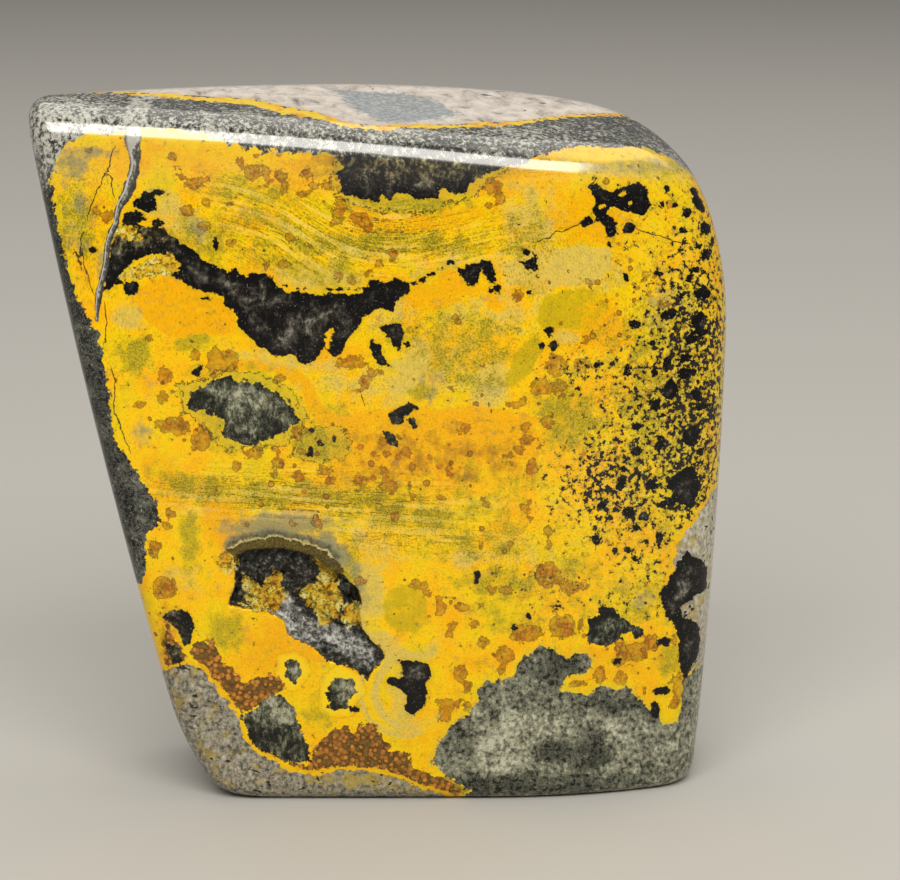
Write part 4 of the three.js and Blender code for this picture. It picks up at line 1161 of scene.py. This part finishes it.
tuff_tone = total(0, (mottled, 0.7), (at["tuff"], -0.018), (fine, 0.85), (salt, 0.4))
tuff_tone = total(tuff_tone, (at["tuff_dark"], -0.26))
tuff_tone = add("MapRange", {0: tuff_tone, 1: 0.74, 2: 1.22, 3: 0, 4: 1})
tuff = add("ValToRGB", {0: tuff_tone}, stops=[
    (0.08, "1A1B16"), (0.3, "3C3E33"), (0.52, "666656"), (0.75, "919079"), (1.0, "C4C2AB")])
threads = add("Math", {0: fine, 1: -0.5}, operation="ADD")
threads = add("Math", {0: threads}, operation="ABSOLUTE")
threads = add("MapRange", {0: threads, 1: 0, 2: 0.022, 3: 1, 4: 0})
tuff = over(((threads, 0.3, "C2C1AC"),), tuff)
paler = total(at["heart"], (at["ash"], -0.04))
ash_tone = total(mottled, (paler, 0.16), (salt, 0.75))
ash_tone = add("MapRange", {0: ash_tone, 1: 0.68, 2: 1.18, 3: 0, 4: 1})
ash = add("ValToRGB", {0: ash_tone}, stops=[
    (0.14, "0E0F0B"), (0.4, "24251D"), (0.58, "4C4D3D"), (0.78, "7F7F69"), (1.0, "B2AF95")])

# Matrix: a grey mudstone, pitted and stained. Black mineral: nearly black, clouded with grey.
matrix = total(fine, (salt, 0.5), (at["white_fibres_and_sheen"], 0.14))
matrix = add("ValToRGB", {0: matrix}, stops=[
    (0.56, "524E45"), (0.68, "857F6F"), (0.82, "A8A18C"), (0.96, "C8C2AF")])
stain = total(patches[2], (at["olive"], 0.16))
stain = add("MapRange", {0: stain, 1: 0.54, 2: 0.68, 3: 0, 4: 0.7})
pits = add("Mapping", {"Vector": mm, "Rotation": (0, radians(35), 0), "Scale": (0.65, 1, 1.2)})
pits = add("TexNoise", {"Vector": pits, "Scale": 1 / PIT, "Detail": 1})
pits = add("MapRange", {0: pits, 1: 0.68, 2: 0.7, 3: 0, 4: 1})
matrix = over(((stain, 1, "B0962C"), (pits, 1, "2A2722"), (white_grit, 0.25, "C9C4B2")), matrix)
near_edge = add("MapRange", {0: at["black"], 1: -1.8, 2: 0, 3: 0, 4: -0.16})
black = total(mottled, (fine, 0.4), (salt, 0.22), (near_edge, 1))
black = add("ValToRGB", {0: black}, stops=[
    (0.71, "0C0B0A"), (0.8, "1F1C18"), (0.9, "48443C"), (1.0, "8A8578")])
brown_black = total(mottled, (fine, 0.5), (salt, 0.5))
brown_black = add("Math", {0: brown_black, 1: -0.25}, operation="ADD")
brown_black = add("ValToRGB", {0: brown_black}, stops=[
    (0.66, "0F0D09"), (0.76, "2E2919"), (0.87, "7A7048"), (1.0, "C4BC94")])
black = over(((at["brown"], 1, brown_black),), black)
# Light grey grain on the black mineral: partly specks, partly painted glints.
specks_and_glints = add("MapRange", {0: dust, 1: 0.68, 2: 0.74, 3: 0, 4: 0.5})
black = over(((specks_and_glints, 1, "9A9890"),), black)
gold = add("ValToRGB", {0: patches[0]}, stops=[
    (0.38, "C48E1E"), (0.46, "E0B020"), (0.54, "DCC446"), (0.66, "EAE2A0")])
crackle = add("Math", {0: wander, 1: 0.49, 2: 0.012}, operation="COMPARE")
gold = over(((orb_gaps, 0.8, "33260E"), (crackle, 0.7, "2C220E")), gold)

# Layers of the top: olive-grey rock full of white fibres, whose white along the rim is also a
# painted sheen, a yellow seam, and pinkish pale rock.
# The white streaks in the dark rock are partly fibres and partly a painted sheen.
fibre_and_sheen_spread = total(at["white_fibres_and_sheen"], (mottled, 2.4))
fibre_and_sheen_spread = add("MapRange", {0: fibre_and_sheen_spread, 1: 0.2, 2: 2.2, 3: -0.15, 4: 0.18})
fibres_and_sheen = total(salt, (fine, 0.8), (fibre_and_sheen_spread, 1))
fibres_and_sheen = add("MapRange", {0: fibres_and_sheen, 1: 0.95, 2: 1.13, 3: 0, 4: 0.92})
dark = total(mottled, (fine, 0.35))
dark = add("ValToRGB", {0: dark}, stops=[
    (0.57, "10110D"), (0.66, "272822"), (0.76, "4C4C41"), (0.9, "808072")])
dark = over(((threads, 0.35, "C9C7BB"), (fibres_and_sheen, 1, "C9C7BB")), dark)
pale = add("ValToRGB", {0: mottled}, stops=[(0.34, "9C928A"), (0.46, "CEC3B8"), (0.62, "E8DED3")])
cloud_grey = add("ValToRGB", {0: fine}, stops=[
    (0.36, "767E84"), (0.52, "969EA2"), (0.68, "BABEC0")])
pale_marks = add("MapRange", {0: mottled, 1: 0.36, 2: 0.32, 3: 0, 4: 0.7})
stained = add("MapRange", {0: at["pale_rock"], 1: -1.6, 2: 0.2, 3: 0, 4: 0.7})
stained = add("Math", {0: stained, 1: patches[0]}, operation="MULTIPLY")
pale = over((
    (white_grit, 0.5, "F4EEE5"),
    (inside("grey_cloud", 2.4, 0.5), 0.85, cloud_grey),
    (pale_marks, 1, "5A5147"),
    (stained, 1, "C99A3C"),
    (inside("top_marks", 0.8), 0.8, "3A3630"),
), pale)
seam = add("ValToRGB", {0: patches[1]}, stops=[(0.4, "E8A010"), (0.5, "F2C40C"), (0.6, "F0D020")])
vein = add("ValToRGB", {0: salt}, stops=[(0.4, "3B3932"), (0.52, "6E6C63"), (0.66, "B9B7AD")])
vein_right = add("MapRange", {0: at["vein"], 1: 0.1, 2: 0.4, 3: 0, 4: 0.75})
vein_line = line_round("vein", -0.5, 0.17, 0.2)
vein_sides = add("MapRange", {0: at["vein_near"], 1: 0.7, 2: 0.95, 3: 0, 4: 0.8})
vein = over((
    (vein_right, 1, "2F2D27"),
    (vein_line, 0.55, "DEDCD2"),
    (vein_sides, 1, "36332C"),
), vein)
vein_mask = add("MapRange", {0: frayed("vein_near", 0.5), 1: 0.9, 2: 1.1, 3: 1, 4: 0})
crack_line = line_round("crack", 0, 0.09, 0.35)
crack_here = add("Math", {0: at["crack_near"], 1: 0.6}, operation="LESS_THAN")
crack_line = add("Math", {0: crack_line, 1: crack_here}, operation="MULTIPLY")

# The hollow: a black ground, partly black crystals and partly painted shade of the recess, gold
# crystals and a silvery ridge that the polish never reached, under a dark olive lip, a thin cream
# line and a grey one.
# Nearly black all over the hollow: partly black crystals, partly painted shade of the recess.
hollow_black_and_shade = add("ValToRGB", {0: fine}, stops=[
    (0.42, "141310"), (0.54, "35322B"), (0.68, "7A776C")])
silvery = add("MapRange", {0: frayed("silver", 1.6), 1: 0.9, 2: 2.4, 3: 0.95, 4: 0})
silver = add("ValToRGB", {0: fine}, stops=[(0.36, "3A3936"), (0.48, "8C8B84"), (0.62, "D6D5CE")])
hollow = over(((silvery, 1, silver), (inside("gold", 1.3), 1, gold)), hollow_black_and_shade)
hollow_mask = inside("hollow", 0.6)
lip = total(at["rim_line"], (ragged, 0.5), (salt, 0.9))
lip = add("MapRange", {0: lip, 1: -1.75, 2: 2.65, 3: 0, 4: 1})
lip_bands = add("ValToRGB", {0: lip}, stops=[
    (0.0, "14110A"), (0.3, "403A20"), (0.45, "2A2413"), (0.475, "D0C48C"), (0.515, "C4B97E"),
    (0.54, "7A7658"), (0.6, "4A4A3E"), (0.68, "6E6C58"), (0.8, "8E8B6C")])
lip_bands = over(((threads, 0.6, "A08A34"), (orb_gaps, 0.5, "1A160C")), lip_bands)
lip_near = total(at["rim_near"], (patches[1], 2.4))
lip_near = add("MapRange", {0: lip_near, 1: 2.2, 2: 3.0, 3: 0.95, 4: 0})
matrix_mask = inside("matrix", 0.7)
matrix_rim = line_round("matrix", 0.36, 0.34, 0.9)
pebble_rim = add("MapRange", {0: frayed("ringed", 0.5), 1: 0.6, 2: 1.5, 3: 0.85, 4: 0})
pebble_line = line_round("ringed", 1.45, 0.1, 0.4)
crust_mask = add("Math", {0: inside("crust", 1.3), 1: 0.97}, operation="MULTIPLY")

colour = over((
    (contour_line, 0.8, "3E3A16"),
    (pebble_rim, 1, "F4D01A"),
    (pebble_line, 0.35, "C08A0E"),
    (lip_near, 1, lip_bands),
    (crust_mask, 1, crust),
    (matrix_rim, 0.85, "EFB906"),
    (matrix_mask, 1, matrix),
    (line_round("tuff", 0.3, 0.32, 1.2), 0.4, "CFC02A"),
    (inside("tuff", 1), 1, tuff),
    (inside("ash", 1), 1, ash),
    (inside("black", 0.7), 1, black),
    (inside("spray", 1), 1, gold),
    (inside("dark_rock", 1.3), 1, dark),
    (inside("pale_rock", 0.8), 1, pale),
    (inside("seam", 1.5), 1, seam),
    (crack_line, 0.9, "2E2410"),
    (vein_mask, 1, vein),
    (hollow_mask, 1, hollow),
), colour)

# Relief that a polish leaves: a faint waviness, open pits in the matrix and a raw hollow.
rough_pits = add("Math", {0: pits, 1: matrix_mask}, operation="MULTIPLY")
ripple = add("TexNoise", {"Vector": mm, "Scale": 1 / RIPPLE, "Detail": 1})
raw = add("Math", {0: fine, 1: hollow_mask}, operation="MULTIPLY")
relief = total(0, (ripple, RIPPLE_HEIGHT), (rough_pits, -PIT_DEPTH), (raw, CRYSTAL_HEIGHT))
relief = add("Bump", {"Strength": 1, "Distance": MM, "Height": relief})
shine = add("MapRange", {0: hollow_mask, 1: 0, 2: 1, 3: FACE_SHINE, 4: HOLLOW_SHINE})
shine = total(shine, (cloud, 0.08))
gloss = add("MapRange", {0: up, 1: FACE_TOP, 2: RIM_FLOOR, 3: FACE_GLOSS, 4: 1})
stone_finish = add("BsdfPrincipled", {
    "Base Color": colour, "Roughness": shine, "IOR": CALCITE_IOR, "Specular IOR Level": gloss,
    "Normal": relief})
add("OutputMaterial", {"Surface": stone_finish}, give=())

stone_mesh.materials.append(polished_calcite)
stone = bpy.data.objects.new("polished_freeform", stone_mesh)
bpy.context.scene.collection.objects.link(stone)
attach(stone, "root")
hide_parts("polished_stone")
